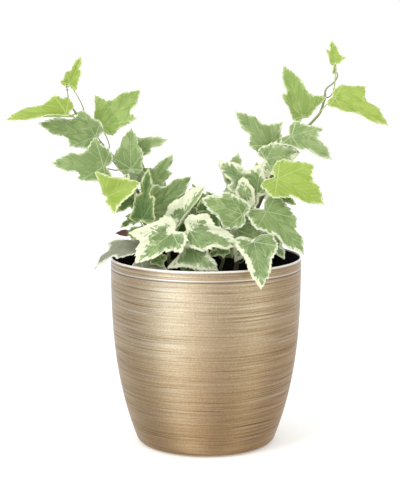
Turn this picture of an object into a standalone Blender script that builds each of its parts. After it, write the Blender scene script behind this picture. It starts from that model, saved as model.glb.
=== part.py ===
"""Potted variegated ivy: a turned cover pot with a nursery pot, soil, climbing vines and lobed
leaves inside it. Metres, +Z up, origin at the middle of the pot's underside."""
import math

import bmesh
import bpy
from mathutils import Vector

# ---------------------------------------------------------------- driving dimensions, millimetres
RIM_RADIUS = 65.0          # cover pot, outside, at its rim
FOOT_RADIUS = 46.4         # cover pot, where the wall's curve would meet the ground
POT_HEIGHT = 129.0
POT_WALL = 1.0
POT_FLOOR = 1.2
WALL_CURVE = 2.8           # how late the wall turns in towards the foot
FOOT_ROUND = 6.5           # rounding between wall and underside
BAND_DEPTH = 6.8           # the fine line under the rim, measured down from the rim
BAND_WIDTH = 0.8
BAND_CUT = 0.25

NURSERY_BELOW_RIM = 21.5   # from the cover pot's rim down to the nursery pot's
NURSERY_RIM_CLEARANCE = 7.0
NURSERY_FOOT_CLEARANCE = 1.2
NURSERY_WALL = 0.9
NURSERY_LIP_HEIGHT = 7.0
NURSERY_LIP_STEP = 1.6
NURSERY_FOOT_CHAMFER = 2.0
NURSERY_LIP_CHAMFER = 0.5
DRAIN_INNER_RADIUS = 22.0
DRAIN_OUTER_RADIUS = 31.0
SOIL_BELOW_LIP = 7.0       # from the nursery pot's top edge down to the soil
SOIL_CLEARANCE = 0.5
SOIL_EDGE_DROP = 1.5

VINE_FOOT_RADIUS = 1.4
VINE_TIP_RADIUS = 0.6
STALK_RADIUS = 0.42
BLADE_THICKNESS = 0.55
GAP = 0.3                  # between pieces that touch

POT_SEGMENTS = 56
WALL_STEPS = 7
FOOT_STEPS = 4
NURSERY_SEGMENTS = 36
DRAIN_SLOTS = 4
DRAIN_SLOT_STEPS = 2       # segments that one drain slot spans
VINE_SIDES = 6
VINE_STEPS = 3             # rings between two of a vine's points
STALK_SIDES = 4
STALK_STEP = 5.0           # spacing of a stalk's rings
STALK_PULL = 0.35          # how far a stalk keeps its direction at both ends, share of its reach

MM = 0.001
PLAN_RIM_RADIUS = 65.0     # the rim that the plan below is drawn for; the plant grows with its pot

# ---------------------------------------------------------------- the plant's plan
# Places are millimetres from the middle of the rim: x to the right, y to the back, z up.
# A vine is its foot in the soil, then the points that it climbs through.
VINES = {
    "a": [(-28, 4), (-31, 2, 0), (-38, -1, 28), (-50, -1, 50), (-63, -2, 66), (-72, -3, 79),
          (-80, -2, 90), (-88, -1, 98), (-92, -2, 106), (-93, -3, 114)],
    "b": [(-12, 6), (-16, 4, 0), (-26, 3, 24), (-35, 2, 44), (-42, 2, 60), (-46, 2, 71)],
    "c": [(-26, -14), (-30, -15, 0), (-37, -14, 16), (-45, -13, 30), (-53, -14, 40),
          (-59, -16, 47)],
    "d": [(-18, -25), (-23, -28, -8), (-25, -29, 4), (-23, -27, 14), (-21, -25, 21)],
    "e": [(4, -20), (8, -26, -10), (11, -28, 0), (13, -25, 12), (10, -20, 24), (5, -18, 32)],
    "f": [(20, -14), (20, -22, -10), (22, -22, 4), (26, -19, 20), (30, -16, 33), (36, -13, 42),
          (43, -11, 51)],
    "g": [(18, 4), (22, 3, 0), (34, 2, 30), (44, 2, 52), (53, 3, 68), (62, 4, 80), (71, 5, 90),
          (77, 5, 97), (80, 5, 106), (81, 5, 113), (86, 7, 117), (89, 8, 122), (87, 8, 126)],
    "h": [(2, 22), (4, 27, 0), (8, 30, 18), (14, 31, 34), (22, 30, 48)],
}

# A leaf: (place along its vine, base, tip, the way its upper face looks, its left lobe, its right
# lobe, heart, arch, left fold, right fold, tone). The lobes are (along, across) in blade lengths.
# Heart is 0 for a straight base and 1 for one with lobes behind the stalk, the arch is in blade
# lengths, and the folds are in degrees.
LEAVES = {
    "a": [
        (3.6, (-68, -22, 63), (-103, -26, 66), (-0.1, -1, 0.2), (0.42, 0.30), (0.20, 0.54),
         0.8, 0.06, 10, 10, "mature"),
        (4.7, (-74, -9, 82), (-112, -12, 91), (-0.1, -1, 0.2), (0.39, 0.28), (0.34, 0.42),
         0.4, 0.05, 15, 20, "mature"),
        (4.4, (-70, 0, 88), (-44, 2, 113), (0.1, -1, 0.2), (0.32, 0.52), (0.58, 0.36),
         0.1, 0.05, 8, 12, "young"),
        (6.9, (-93, -13, 98), (-133, -17, 94), (0.0, -0.8, 0.6), (0.34, 0.28), (0.17, 0.36),
         0.6, 0.06, 50, 0, "lime"),
        (6.4, (-91, -5, 117), (-83, -8, 136), (0.1, -1, 0.2), (0.32, 0.26), (0.56, 0.24),
         0.6, 0.04, 10, 25, "lime"),
    ],
    "b": [
        (2.3, (-38, -14, 31), (-10, -13, 56), (0.1, -1, 0.1), (0.41, 0.34), (0.42, 0.28),
         0.3, 0.04, 8, 10, "mature"),
        (3.0, (-36, -5, 51), (-22, -3, 70), (0.2, -1, 0.1), (0.15, 0.50), (0.55, 0.30),
         0.4, 0.04, 5, 5, "mature"),
        (3.5, (-50, -14, 61), (-50, -10, 88), (-0.2, -1, 0.3), (0.28, 0.46), (0.38, 0.34),
         0.5, 0.05, 15, 15, "cream"),
        (4.7, (-50, -1, 72), (-25, -3, 80), (0.0, -1, 0.3), (0.02, 0.52), (0.45, 0.24),
         0.5, 0.05, 10, 10, "mature"),
        (3.2, (-53, -12, 47), (-53, -13, 60), (-0.1, -1, 0.2), (0.35, 0.40), (0.35, 0.40),
         0.5, 0.04, 10, 10, "cream"),
        (2.6, (-26, 16, 32), (-44, 34, 46), (-0.2, 0.8, 0.6), (0.35, 0.50), (0.35, 0.50),
         0.7, 0.08, 10, 10, "mature"),
        (1.4, (-30, 20, 10), (-58, 42, 8), (-0.4, 0.4, 1), (0.35, 0.50), (0.35, 0.50),
         0.7, 0.10, 10, 10, "mature"),
    ],
    "c": [
        (1.7, (-46, -21, 30), (-57, -27, 23), (-0.2, -1, 0.3), (0.45, 0.30), (0.45, 0.30),
         0.7, 0.04, 10, 10, "dark"),
        (2.2, (-42, -31, 29), (-38, -28, 63), (0.0, -1, 0.1), (0.46, 0.20), (0.46, 0.20),
         0.2, 0.03, 20, 20, "dark"),
        (2.8, (-47, -24, 43), (-60, -27, 33), (-0.2, -1, 0.3), (0.35, 0.40), (0.35, 0.40),
         0.7, 0.04, 10, 10, "dark"),
        (3.8, (-65, -28, 44), (-43, -36, 54), (-0.1, -1, 0.2), (0.02, 0.92), (0.05, 0.45),
         0.5, 0.05, 25, 15, "lime"),
        (1.1, (-43, -27, 19), (-60, -31, 20), (-0.1, -1, 0.5), (0.40, 0.25), (0.40, 0.25),
         0.7, 0.05, 10, 10, "dark"),
    ],
    "d": [
        (3.3, (-22, -44, 22), (-46, -50, 3), (-0.1, -1, 0.4), (0.13, 0.51), (0.70, 0.56),
         1.0, 0.06, 15, 20, "cream"),
        (2.8, (-20, -27, 24), (-1, -32, 52), (-0.5, -1, 0.2), (0.33, 0.32), (0.40, 0.22),
         0.3, 0.05, 20, 60, "cream"),
        (2.4, (-45, -24, 9), (-75, -20, -6), (-0.4, -0.3, 1), (0.35, 0.48), (0.60, 0.45),
         0.6, 0.14, 5, 10, "grey"),
        (2.0, (-29, -41, 3), (-44, -37, 7), (-0.1, -0.6, 0.8), (0.35, 0.40), (0.35, 0.40),
         0.7, 0.06, 5, 5, "dark"),
    ],
    "e": [
        (2.4, (-12, -37, 12), (8, -46, -3), (0.0, -0.95, 0.35), (0.42, 0.24), (0.02, 0.76),
         0.4, 0.08, 15, 10, "cream"),
        (2.6, (-11, -40, 23), (22, -46, 14), (0.1, -1, 0.25), (0.27, 0.44), (0.38, 0.32),
         0.6, 0.06, 35, 5, "cream"),
        (4.4, (8, -25, 27), (-6, -26, 34), (0.0, -1, 0.4), (0.35, 0.40), (0.35, 0.40),
         0.7, 0.05, 10, 10, "dark"),
        (2.5, (13, -32, 10), (1, -35, 5), (-0.1, -1, 0.5), (0.35, 0.45), (0.35, 0.45),
         0.7, 0.05, 10, 10, "dark"),
    ],
    "f": [
        (3.8, (31, -50, 17), (35, -69, -11), (0.0, -0.8, 0.5), (0.22, 0.42), (0.13, 0.36),
         1.0, 0.16, 5, 5, "cream"),
        (4.1, (40, -27, 34), (64, -42, 7), (0.3, -1, 0.35), (0.44, 0.28), (0.20, 0.42),
         1.0, 0.08, 12, 12, "mature"),
        (3.5, (24, -36, 33), (-3, -40, 44), (0.0, -1, 0.15), (0.30, 0.46), (0.55, 0.36),
         0.5, 0.06, 10, 15, "mature"),
        (3.9, (28, -27, 39), (24, -26, 57), (-0.3, -1, 0.1), (0.55, 0.36), (0.50, 0.36),
         0.3, 0.05, 15, 15, "cream"),
        (4.8, (34, -16, 44), (8, -13, 67), (-0.1, -1, 0.1), (0.52, 0.30), (0.34, 0.50),
         0.6, 0.05, 20, 12, "cream"),
        (3.0, (31, -25, 18), (19, -29, 0), (-0.1, -1, 0.3), (0.25, 0.45), (0.50, 0.62),
         0.7, 0.05, 10, 10, "cream"),
        (2.8, (43, -20, 15), (52, -30, 2), (0.3, -1, 0.4), (0.35, 0.45), (0.35, 0.45),
         0.7, 0.05, 10, 10, "cream"),
        (4.3, (19, -4, 51), (22, -5, 71), (-0.1, -1, 0.1), (0.52, 0.62), (0.42, 0.34),
         0.5, 0.05, 10, 10, "mature"),
    ],
    "g": [
        (3.1, (47, -28, 56), (77, -40, 40), (0.2, -1, 0.4), (0.44, 0.52), (0.22, 0.48),
         1.0, 0.08, 12, 20, "lime"),
        (2.6, (35, -4, 53), (34, -4, 65), (0.0, -1, 0.3), (0.35, 0.40), (0.35, 0.40),
         0.7, 0.05, 25, 25, "lime"),
        (3.5, (40, -11, 67), (63, -13, 72), (0.0, -1, 0.15), (0.38, 0.42), (0.13, 0.48),
         0.9, 0.08, 10, 10, "cream"),
        (3.9, (43, -3, 76), (19, -2, 99), (-0.1, -1, 0.1), (0.31, 0.32), (0.15, 0.52),
         0.5, 0.05, 10, 10, "mature"),
        (4.5, (57, -12, 83), (84, -17, 67), (0.2, -1, 0.25), (0.46, 0.46), (0.34, 0.22),
         0.7, 0.08, 8, 20, "mature"),
        (5.1, (65, -1, 95), (52, 0, 129), (0.15, -1, 0.2), (0.50, 0.32), (0.17, 0.53),
         0.1, 0.05, 25, 8, "young"),
        (5.4, (86, -4, 108), (122, -12, 89), (0.2, -1, 0.5), (0.35, 0.38), (0.30, 0.24),
         0.2, 0.08, 8, 20, "lime"),
        (8.2, (87, 2, 131), (84, 2, 146), (0.0, -1, 0.2), (0.64, 0.34), (0.12, 0.48),
         0.3, 0.03, 10, 10, "lime"),
        (2.7, (50, -6, 42), (61, -10, 36), (0.2, -1, 0.3), (0.35, 0.40), (0.35, 0.40),
         0.7, 0.05, 10, 10, "dark"),
        (2.9, (52, 14, 54), (74, 26, 40), (0.3, 0.8, 0.6), (0.35, 0.50), (0.35, 0.50),
         0.7, 0.08, 10, 10, "mature"),
        (1.4, (34, 20, 10), (60, 40, 6), (0.4, 0.4, 1), (0.35, 0.50), (0.35, 0.50),
         0.7, 0.10, 10, 10, "mature"),
    ],
    "h": [
        (1.3, (8, 48, 12), (14, 76, -8), (0.1, 0.7, 0.8), (0.30, 0.46), (0.30, 0.46),
         0.7, 0.14, 5, 5, "cream"),
        (1.9, (-6, 40, 22), (-34, 52, 12), (-0.2, 0.8, 0.7), (0.35, 0.50), (0.35, 0.50),
         0.7, 0.08, 10, 10, "mature"),
        (2.6, (16, 42, 28), (40, 56, 12), (0.2, 0.8, 0.7), (0.35, 0.50), (0.35, 0.50),
         0.7, 0.08, 10, 10, "mature"),
        (2.7, (-2, 36, 30), (-28, 40, 35), (-0.1, 0.9, 0.4), (0.35, 0.50), (0.35, 0.50),
         0.7, 0.06, 10, 10, "young"),
        (3.8, (33, 33, 42), (60, 38, 50), (0.2, 0.9, 0.5), (0.35, 0.50), (0.35, 0.50),
         0.7, 0.06, 10, 10, "cream"),
    ],
}

# colour, roughness
LEAF_TONES = {
    "mature": ((0.28, 0.42, 0.22), 0.45),
    "young": ((0.40, 0.55, 0.20), 0.45),
    "lime": ((0.46, 0.62, 0.14), 0.42),
    "cream": ((0.60, 0.68, 0.42), 0.45),
    "dark": ((0.14, 0.26, 0.10), 0.48),
    "grey": ((0.30, 0.36, 0.26), 0.50),
}


def clear_scene():
    for thing in list(bpy.data.objects):
        bpy.data.objects.remove(thing, do_unlink=True)


def finish(name, colour, roughness, metallic=0.0):
    material = bpy.data.materials.new(name + "_finish")
    material.use_nodes = True
    shader = material.node_tree.nodes["Principled BSDF"]
    shader.inputs["Base Color"].default_value = (*colour, 1.0)
    shader.inputs["Roughness"].default_value = roughness
    shader.inputs["Metallic"].default_value = metallic
    material.diffuse_color = (*colour, 1.0)
    return material


def add_object(name, points, faces, material, smooth_angle=35.0):
    """A closed body from points in millimetres, its faces turned outwards."""
    mesh = bpy.data.meshes.new(name)
    mesh.from_pydata([Vector(point) * MM for point in points], [], faces)
    form = bmesh.new()
    form.from_mesh(mesh)
    bmesh.ops.recalc_face_normals(form, faces=form.faces)
    form.to_mesh(mesh)
    form.free()
    mesh.shade_smooth()
    mesh.set_sharp_from_angle(angle=math.radians(smooth_angle))
    mesh.materials.append(material)
    body = bpy.data.objects.new(name, mesh)
    bpy.context.scene.collection.objects.link(body)
    return body


# ---------------------------------------------------------------- pots and soil
def wall_radius(height):
    """The cover pot's outer radius at a height, before its foot is rounded."""
    down = 1.0 - height / POT_HEIGHT
    return RIM_RADIUS - (RIM_RADIUS - FOOT_RADIUS) * down ** WALL_CURVE


def wall_lean(height):
    """The wall's angle from upright at a height, in radians."""
    down = 1.0 - height / POT_HEIGHT
    return math.atan((RIM_RADIUS - FOOT_RADIUS) * WALL_CURVE * down ** (WALL_CURVE - 1.0) / POT_HEIGHT)


def cover_pot_side(inset, lowest, foot_round):
    """One side of the pot from its floor up to the band, inset from the outer side."""
    lean = wall_lean(lowest)
    first = lowest + foot_round * (1.0 - math.sin(lean))
    middle = wall_radius(first) - inset - foot_round * math.cos(lean)
    side = [(0.0, lowest)]
    for step in range(FOOT_STEPS + 1):
        turn = (math.pi / 2.0 - lean) * step / FOOT_STEPS
        side.append((middle + foot_round * math.sin(turn),
                     lowest + foot_round - foot_round * math.cos(turn)))
    last = POT_HEIGHT - BAND_DEPTH - 3.0 * BAND_WIDTH
    for step in range(1, WALL_STEPS + 1):
        height = first + (last - first) * step / WALL_STEPS
        side.append((wall_radius(height) - inset, height))
    return side


def floor_radius():
    """The radius of the flat floor inside the cover pot."""
    return cover_pot_side(POT_WALL, POT_FLOOR, FOOT_ROUND - POT_WALL)[1][0]


def cover_pot_profile():
    band_top = POT_HEIGHT - BAND_DEPTH
    band_low = band_top - BAND_WIDTH
    outer = cover_pot_side(0.0, 0.0, FOOT_ROUND)
    outer += [(wall_radius(band_low), band_low),
              (wall_radius(band_low) - BAND_CUT, band_low + BAND_WIDTH * 0.3),
              (wall_radius(band_top) - BAND_CUT, band_top - BAND_WIDTH * 0.3),
              (wall_radius(band_top), band_top),
              (RIM_RADIUS, POT_HEIGHT - POT_WALL * 0.4),
              (RIM_RADIUS - POT_WALL * 0.3, POT_HEIGHT)]
    inner = cover_pot_side(POT_WALL, POT_FLOOR, FOOT_ROUND - POT_WALL)
    inner += [(RIM_RADIUS - POT_WALL, POT_HEIGHT - POT_WALL * 0.3)]
    return outer + inner[::-1]


def nursery_floor():
    """Height of the nursery pot's underside above the ground."""
    return POT_FLOOR + GAP


def nursery_height():
    return POT_HEIGHT - NURSERY_BELOW_RIM - nursery_floor()


def nursery_rim_radius():
    return RIM_RADIUS - POT_WALL - NURSERY_RIM_CLEARANCE


def nursery_radius(height):
    """The nursery pot's outer radius under its lip, at a height above its underside."""
    foot = floor_radius() - NURSERY_FOOT_CLEARANCE
    return foot + (nursery_rim_radius() - NURSERY_LIP_STEP - foot) * height / nursery_height()


def nursery_profile():
    top = nursery_height()
    lip = top - NURSERY_LIP_HEIGHT
    rim = nursery_rim_radius()
    flat = nursery_radius(0.0) - NURSERY_FOOT_CHAMFER
    inner_chamfer = NURSERY_FOOT_CHAMFER + NURSERY_WALL
    outer = [(0.0, 0.0), (DRAIN_INNER_RADIUS, 0.0), (DRAIN_OUTER_RADIUS, 0.0), (flat, 0.0),
             (nursery_radius(NURSERY_FOOT_CHAMFER), NURSERY_FOOT_CHAMFER),
             (nursery_radius(lip), lip), (rim, lip), (rim, top)]
    inner = [(0.0, NURSERY_WALL), (DRAIN_INNER_RADIUS, NURSERY_WALL),
             (DRAIN_OUTER_RADIUS, NURSERY_WALL), (flat, NURSERY_WALL),
             (nursery_radius(inner_chamfer) - NURSERY_WALL, inner_chamfer),
             (nursery_radius(lip) - NURSERY_WALL, lip),
             (rim - NURSERY_WALL - NURSERY_LIP_STEP, top - NURSERY_LIP_CHAMFER),
             (rim - NURSERY_WALL, top)]
    return outer + inner[::-1]


def turned_body(profile, segments, lift=0.0):
    """Points and faces of a profile turned about the Z axis; profile points on the axis are poles."""
    points, rings = [], []
    for radius, height in profile:
        if radius == 0.0:
            rings.append([len(points)])
            points.append((0.0, 0.0, height + lift))
            continue
        rings.append(list(range(len(points), len(points) + segments)))
        for step in range(segments):
            turn = 2.0 * math.pi * step / segments
            points.append((radius * math.cos(turn), radius * math.sin(turn), height + lift))
    faces = []
    for lower, upper in zip(rings, rings[1:] + rings[:1]):
        if len(lower) == 1 and len(upper) == 1:
            continue
        for step in range(segments):
            after = (step + 1) % segments
            if len(lower) == 1:
                faces.append((lower[0], upper[step], upper[after]))
            elif len(upper) == 1:
                faces.append((lower[step], lower[after], upper[0]))
            else:
                faces.append((lower[step], lower[after], upper[after], upper[step]))
    return points, faces, rings


def make_cover_pot():
    points, faces, _ = turned_body(cover_pot_profile(), POT_SEGMENTS)
    return add_object("cover_pot", points, faces, finish("cover_pot", (0.55, 0.42, 0.22), 0.35, 1.0))


def make_nursery_pot():
    """The growing pot, with drain slots through its floor."""
    profile = nursery_profile()
    points, faces, rings = turned_body(profile, NURSERY_SEGMENTS, nursery_floor())
    under_in, under_out = rings[1], rings[2]
    over_in, over_out = rings[-2], rings[-3]
    slot_starts = range(1, NURSERY_SEGMENTS, NURSERY_SEGMENTS // DRAIN_SLOTS)
    open_steps = [start + extra for start in slot_starts for extra in range(DRAIN_SLOT_STEPS)]
    floor_faces = set()
    for step in open_steps:
        for near, far in ((under_in, under_out), (over_in, over_out)):
            floor_faces.add(frozenset((near[step], near[step + 1], far[step], far[step + 1])))
    faces = [face for face in faces if frozenset(face) not in floor_faces]
    for step in open_steps:
        for under, over in ((under_in, over_in), (under_out, over_out)):
            faces.append((under[step], under[step + 1], over[step + 1], over[step]))
    for start in slot_starts:
        for step in (start, start + DRAIN_SLOT_STEPS):
            faces.append((under_in[step], under_out[step], over_out[step], over_in[step]))
    return add_object("nursery_pot", points, faces,
                      finish("nursery_pot", (0.02, 0.02, 0.02), 0.55))


def soil_top():
    """Height of the soil above the ground."""
    return nursery_floor() + nursery_height() - SOIL_BELOW_LIP


def make_soil():
    base = NURSERY_WALL + GAP
    side = NURSERY_WALL + SOIL_CLEARANCE
    shoulder = nursery_height() - max(SOIL_BELOW_LIP, NURSERY_LIP_HEIGHT) - SOIL_EDGE_DROP
    chamfer_top = base + 2.0 * NURSERY_FOOT_CHAMFER
    top = soil_top() - nursery_floor()
    widest = nursery_radius(shoulder) - side
    profile = [(0.0, base), (nursery_radius(0.0) - NURSERY_FOOT_CHAMFER - side, base),
               (nursery_radius(chamfer_top) - side, chamfer_top), (widest, shoulder),
               (widest - SOIL_EDGE_DROP, top), (0.0, top)]
    points, faces, _ = turned_body(profile, NURSERY_SEGMENTS, nursery_floor())
    return add_object("soil", points, faces, finish("soil", (0.05, 0.035, 0.025), 0.95))


# ---------------------------------------------------------------- vines
def plant_place(x, y, z):
    """A place of the plan, in millimetres above the ground, for this pot."""
    grown = RIM_RADIUS / PLAN_RIM_RADIUS
    return Vector((x * grown, y * grown, POT_HEIGHT + z * grown))


def vine_points(letter):
    (foot_x, foot_y), *climb = VINES[letter]
    foot = plant_place(foot_x, foot_y, 0.0)
    foot.z = soil_top() + GAP
    return [foot] + [plant_place(*place) for place in climb]


def smooth_point(points, along):
    """A point of the smooth curve through the points; whole numbers are the points themselves."""
    start = min(int(along), len(points) - 2)
    share = along - start
    before = points[max(start - 1, 0)]
    here, there = points[start], points[start + 1]
    after = points[min(start + 2, len(points) - 1)]
    pull_here = (there - before) * 0.5
    pull_there = (after - here) * 0.5
    square, cube = share * share, share ** 3
    return (here * (2 * cube - 3 * square + 1) + pull_here * (cube - 2 * square + share)
            + there * (3 * square - 2 * cube) + pull_there * (cube - square))


def vine_radius(points, along):
    share = along / (len(points) - 1)
    return VINE_FOOT_RADIUS + (VINE_TIP_RADIUS - VINE_FOOT_RADIUS) * share


def tube_rings(path, radii, sides, first_side):
    """Rings of points square to a path; the side direction is carried along it."""
    rings = []
    side = first_side
    for index, middle in enumerate(path):
        heading = (path[min(index + 1, len(path) - 1)] - path[max(index - 1, 0)]).normalized()
        side = (side - heading * side.dot(heading)).normalized()
        across = heading.cross(side)
        ring = []
        for step in range(sides):
            turn = 2.0 * math.pi * (step + 0.5) / sides
            ring.append(middle + (side * math.cos(turn) + across * math.sin(turn)) * radii[index])
        rings.append(ring)
    return rings


def join_rings(rings, sides, first=0):
    """Quads between rings whose points are numbered in order from first."""
    faces = []
    for ring in range(len(rings) - 1):
        for step in range(sides):
            after = (step + 1) % sides
            low, high = first + ring * sides, first + (ring + 1) * sides
            faces.append((low + step, low + after, high + after, high + step))
    return faces


def make_vine(letter):
    points = vine_points(letter)
    stations = [step / VINE_STEPS for step in range((len(points) - 1) * VINE_STEPS + 1)]
    path = [smooth_point(points, station) for station in stations]
    path[1].x, path[1].y = path[0].x, path[0].y
    radii = [vine_radius(points, station) for station in stations]
    rings = tube_rings(path, radii, VINE_SIDES, Vector((1.0, 0.0, 0.0)))
    for corner in rings[0]:
        corner.z = path[0].z
    faces = join_rings(rings, VINE_SIDES)
    last = (len(rings) - 1) * VINE_SIDES
    faces.append(tuple(range(VINE_SIDES))[::-1])
    faces.append(tuple(range(last, last + VINE_SIDES)))
    corners = [corner for ring in rings for corner in ring]
    return add_object("vine_" + letter, corners, faces,
                      finish("vine_" + letter, (0.22, 0.17, 0.10), 0.7), 60.0)


# ---------------------------------------------------------------- leaves
def between(straight, heart_shaped, heart):
    """A point of the blade's base, from a straight base to a heart-shaped one."""
    return Vector(straight).lerp(Vector(heart_shaped), heart)


def half_outline(lobe, heart):
    """One half of a blade from its tip back to the notch, as (along, across) in blade lengths."""
    tip, lobe_tip = Vector((1.0, 0.0)), Vector(lobe)
    basal = between((0.05, 0.24), (-0.14, 0.36), heart)
    behind = between((-0.04, 0.11), (-0.20, 0.16), heart)
    upper_bay = tip.lerp(lobe_tip, 0.62) * 0.78
    shoulder = tip.lerp(upper_bay, 0.55) + Vector((0.0, 0.045))
    lower_bay = lobe_tip.lerp(basal, 0.60) * 0.92
    return [shoulder, upper_bay, lobe_tip, lower_bay, basal, behind]


def blade_outline(left, right, heart):
    left_half = [(point.x, point.y) for point in half_outline(left, heart)]
    right_half = [(point.x, -point.y) for point in half_outline(right, heart)]
    notch = between((-0.03, 0.0), (-0.07, 0.0), heart)
    return [(1.0, 0.0)] + left_half + [(notch.x, notch.y)] + right_half[::-1]


class Blade:
    """A leaf's own frame and its bent surface."""

    def __init__(self, base, tip, face, arch, fold_left, fold_right):
        self.base = base
        self.length = (tip - base).length
        self.forward = (tip - base).normalized()
        self.up = (face - self.forward * face.dot(self.forward)).normalized()
        self.side = self.up.cross(self.forward)
        self.arch = arch
        self.folds = (math.radians(fold_left), math.radians(fold_right))

    def point(self, along, across, lift=0.0):
        """A surface point; along and across in blade lengths, lift in millimetres."""
        fold = self.folds[0] if across > 0.0 else self.folds[1]
        bend = fold * min(abs(across) / 0.25, 1.0)
        rise = 4.0 * self.arch * along * (1.0 - along) + abs(across) * math.sin(bend)
        flat = self.forward * along + self.side * across * math.cos(bend) + self.up * rise
        return self.base + flat * self.length + self.up * lift


def stalk_path(root, outward, blade):
    """The stalk's middle line, from beside its vine to just under the blade."""
    end = blade.point(0.0, 0.0, -BLADE_THICKNESS - STALK_RADIUS)
    reach = (end - root).length
    pull = reach * STALK_PULL
    leave = root + outward * pull
    arrive = end - (blade.forward * 0.35 + blade.up * 0.95).normalized() * pull
    count = max(4, round(reach / STALK_STEP))
    path = []
    for step in range(count + 1):
        share = step / count
        rest = 1.0 - share
        path.append(root * rest ** 3 + leave * 3 * rest ** 2 * share
                    + arrive * 3 * rest * share ** 2 + end * share ** 3)
    return path


def fan_between(inner, outer, owners):
    """Triangles from a ring of few points to a ring of many; owners says which one each faces."""
    faces = []
    for step, owner in enumerate(owners):
        after = (step + 1) % len(outer)
        faces.append((outer[step], outer[after], inner[owner]))
        if owners[after] != owner:
            faces.append((outer[after], inner[owners[after]], inner[owner]))
    return faces


def make_leaf(letter, number, row):
    place, base, tip, face, left, right, heart, arch, fold_left, fold_right, tone = row
    blade = Blade(plant_place(*base), plant_place(*tip), Vector(face), arch, fold_left, fold_right)
    outline = blade_outline(left, right, heart)
    count = len(outline)
    half = BLADE_THICKNESS / 2.0

    points = [blade.point(along, across) for along, across in outline]
    middle_up = len(points)
    points += [blade.point(along * 0.5, across * 0.5, half) for along, across in outline]
    middle_down = len(points)
    points += [blade.point(along * 0.5, across * 0.5, -half) for along, across in outline]
    centre = len(points)
    points.append(blade.point(0.0, 0.0, half))

    faces = []
    for step in range(count):
        after = (step + 1) % count
        faces.append((centre, middle_up + step, middle_up + after))
        for start in (middle_up, middle_down):
            faces.append((start + step, step, after))
            faces.append((start + step, after, start + after))

    vine = vine_points(letter)
    stem = smooth_point(vine, place)
    heading = (smooth_point(vine, place + 0.05) - smooth_point(vine, place - 0.05)).normalized()
    outward = blade.point(0.0, 0.0) - stem
    outward = (outward - heading * outward.dot(heading)).normalized()
    root = stem + outward * (vine_radius(vine, place) + GAP)
    path = stalk_path(root, outward, blade)[::-1]

    rings = tube_rings(path, [STALK_RADIUS] * len(path), STALK_SIDES, blade.forward)
    collar = []
    for step in range(STALK_SIDES):
        turn = 2.0 * math.pi * (step + 0.5) / STALK_SIDES
        collar.append(path[0] + (blade.forward * math.cos(turn) + blade.side * math.sin(turn))
                      * STALK_RADIUS * 1.3)
    rings = [collar] + [ring[::-1] for ring in rings[1:]]
    for corner in rings[-1]:
        corner -= outward * (corner - root).dot(outward)
    stalk_start = len(points)
    points += [corner for ring in rings for corner in ring]
    faces += join_rings(rings, STALK_SIDES, stalk_start)
    last = stalk_start + (len(rings) - 1) * STALK_SIDES
    faces.append(tuple(range(last, last + STALK_SIDES)))
    quarters = [int(math.atan2(across, along) % (2.0 * math.pi) * STALK_SIDES / (2.0 * math.pi))
                for along, across in outline]
    faces += fan_between(list(range(stalk_start, stalk_start + STALK_SIDES)),
                         list(range(middle_down, middle_down + count)), quarters)

    colour, roughness = LEAF_TONES[tone]
    name = f"vine_{letter}_leaf_{number}"
    return add_object(name, points, faces, finish(name, colour, roughness), 50.0)


def make_plant():
    for letter in VINES:
        make_vine(letter)
        for number, row in enumerate(LEAVES[letter], start=1):
            make_leaf(letter, number, row)


clear_scene()
make_cover_pot()
make_nursery_pot()
make_soil()
make_plant()
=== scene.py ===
# %% [markdown]
# # A potted variegated ivy
#
# The object is a small ivy in a round cover pot. The pot is pressed steel with a brushed gold
# lacquer outside and matt black inside. A black growing pot stands in it, full of soil, and eight
# vines climb out of it with cream-edged leaves. The solids of the design come first, as a fixed
# frame: each finer piece below takes its size and its place from them.

# %% Load the frame
from functools import partial
import math

import bpy
import numpy as np
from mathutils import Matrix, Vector, noise


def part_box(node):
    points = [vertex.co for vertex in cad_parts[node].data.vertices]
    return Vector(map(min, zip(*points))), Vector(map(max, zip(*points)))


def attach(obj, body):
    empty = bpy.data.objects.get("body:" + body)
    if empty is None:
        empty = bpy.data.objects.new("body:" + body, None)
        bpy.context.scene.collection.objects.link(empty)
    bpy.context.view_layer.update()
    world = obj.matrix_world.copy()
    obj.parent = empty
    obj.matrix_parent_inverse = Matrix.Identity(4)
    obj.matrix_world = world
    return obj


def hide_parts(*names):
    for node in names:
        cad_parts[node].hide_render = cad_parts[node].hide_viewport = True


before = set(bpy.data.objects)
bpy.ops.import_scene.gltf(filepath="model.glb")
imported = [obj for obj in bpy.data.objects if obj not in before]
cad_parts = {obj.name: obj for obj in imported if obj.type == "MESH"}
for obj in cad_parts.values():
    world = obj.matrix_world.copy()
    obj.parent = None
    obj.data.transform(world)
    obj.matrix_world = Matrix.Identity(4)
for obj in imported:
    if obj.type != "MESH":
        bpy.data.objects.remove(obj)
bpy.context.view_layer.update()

MM = 0.001
_, pot_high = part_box("cover_pot")
RIM_RADIUS = pot_high.x
POT_HEIGHT = pot_high.z
print("frame:", len(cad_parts), "nodes, rim radius", round(RIM_RADIUS / MM, 1),
      "mm, pot height", round(POT_HEIGHT / MM, 1), "mm")

# %% [markdown]
# ## Camera, floor and light
#
# The plant is seen from a metre away with a long lens, from a little above the rim, so the rim
# shows as a narrow ellipse. The light is that of a white tent with a soft lamp to the left. Metal
# has no colour of its own to show: it mirrors the room. So what the pot mirrors is drawn in the
# surround as a band of light and shade by compass direction, as a photographer would hang white
# and dark cloths round the tent: one wide bright cloth ahead on the left, a fainter one ahead on
# the right, warm shade between them and to both sides, and darker shade low down. Only mirrored
# light sees the cloths. The camera and the soft light see plain white.

# %% The camera
CAMERA_PLACE = (-4.05 * MM, -993.0 * MM, 286.1 * MM)
CAMERA_PITCH_DOWN = 0.153  # radians
LENS_MM = 105.94
SENSOR_MM = 36.0
NEAREST_SEEN = 0.01        # metres


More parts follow.
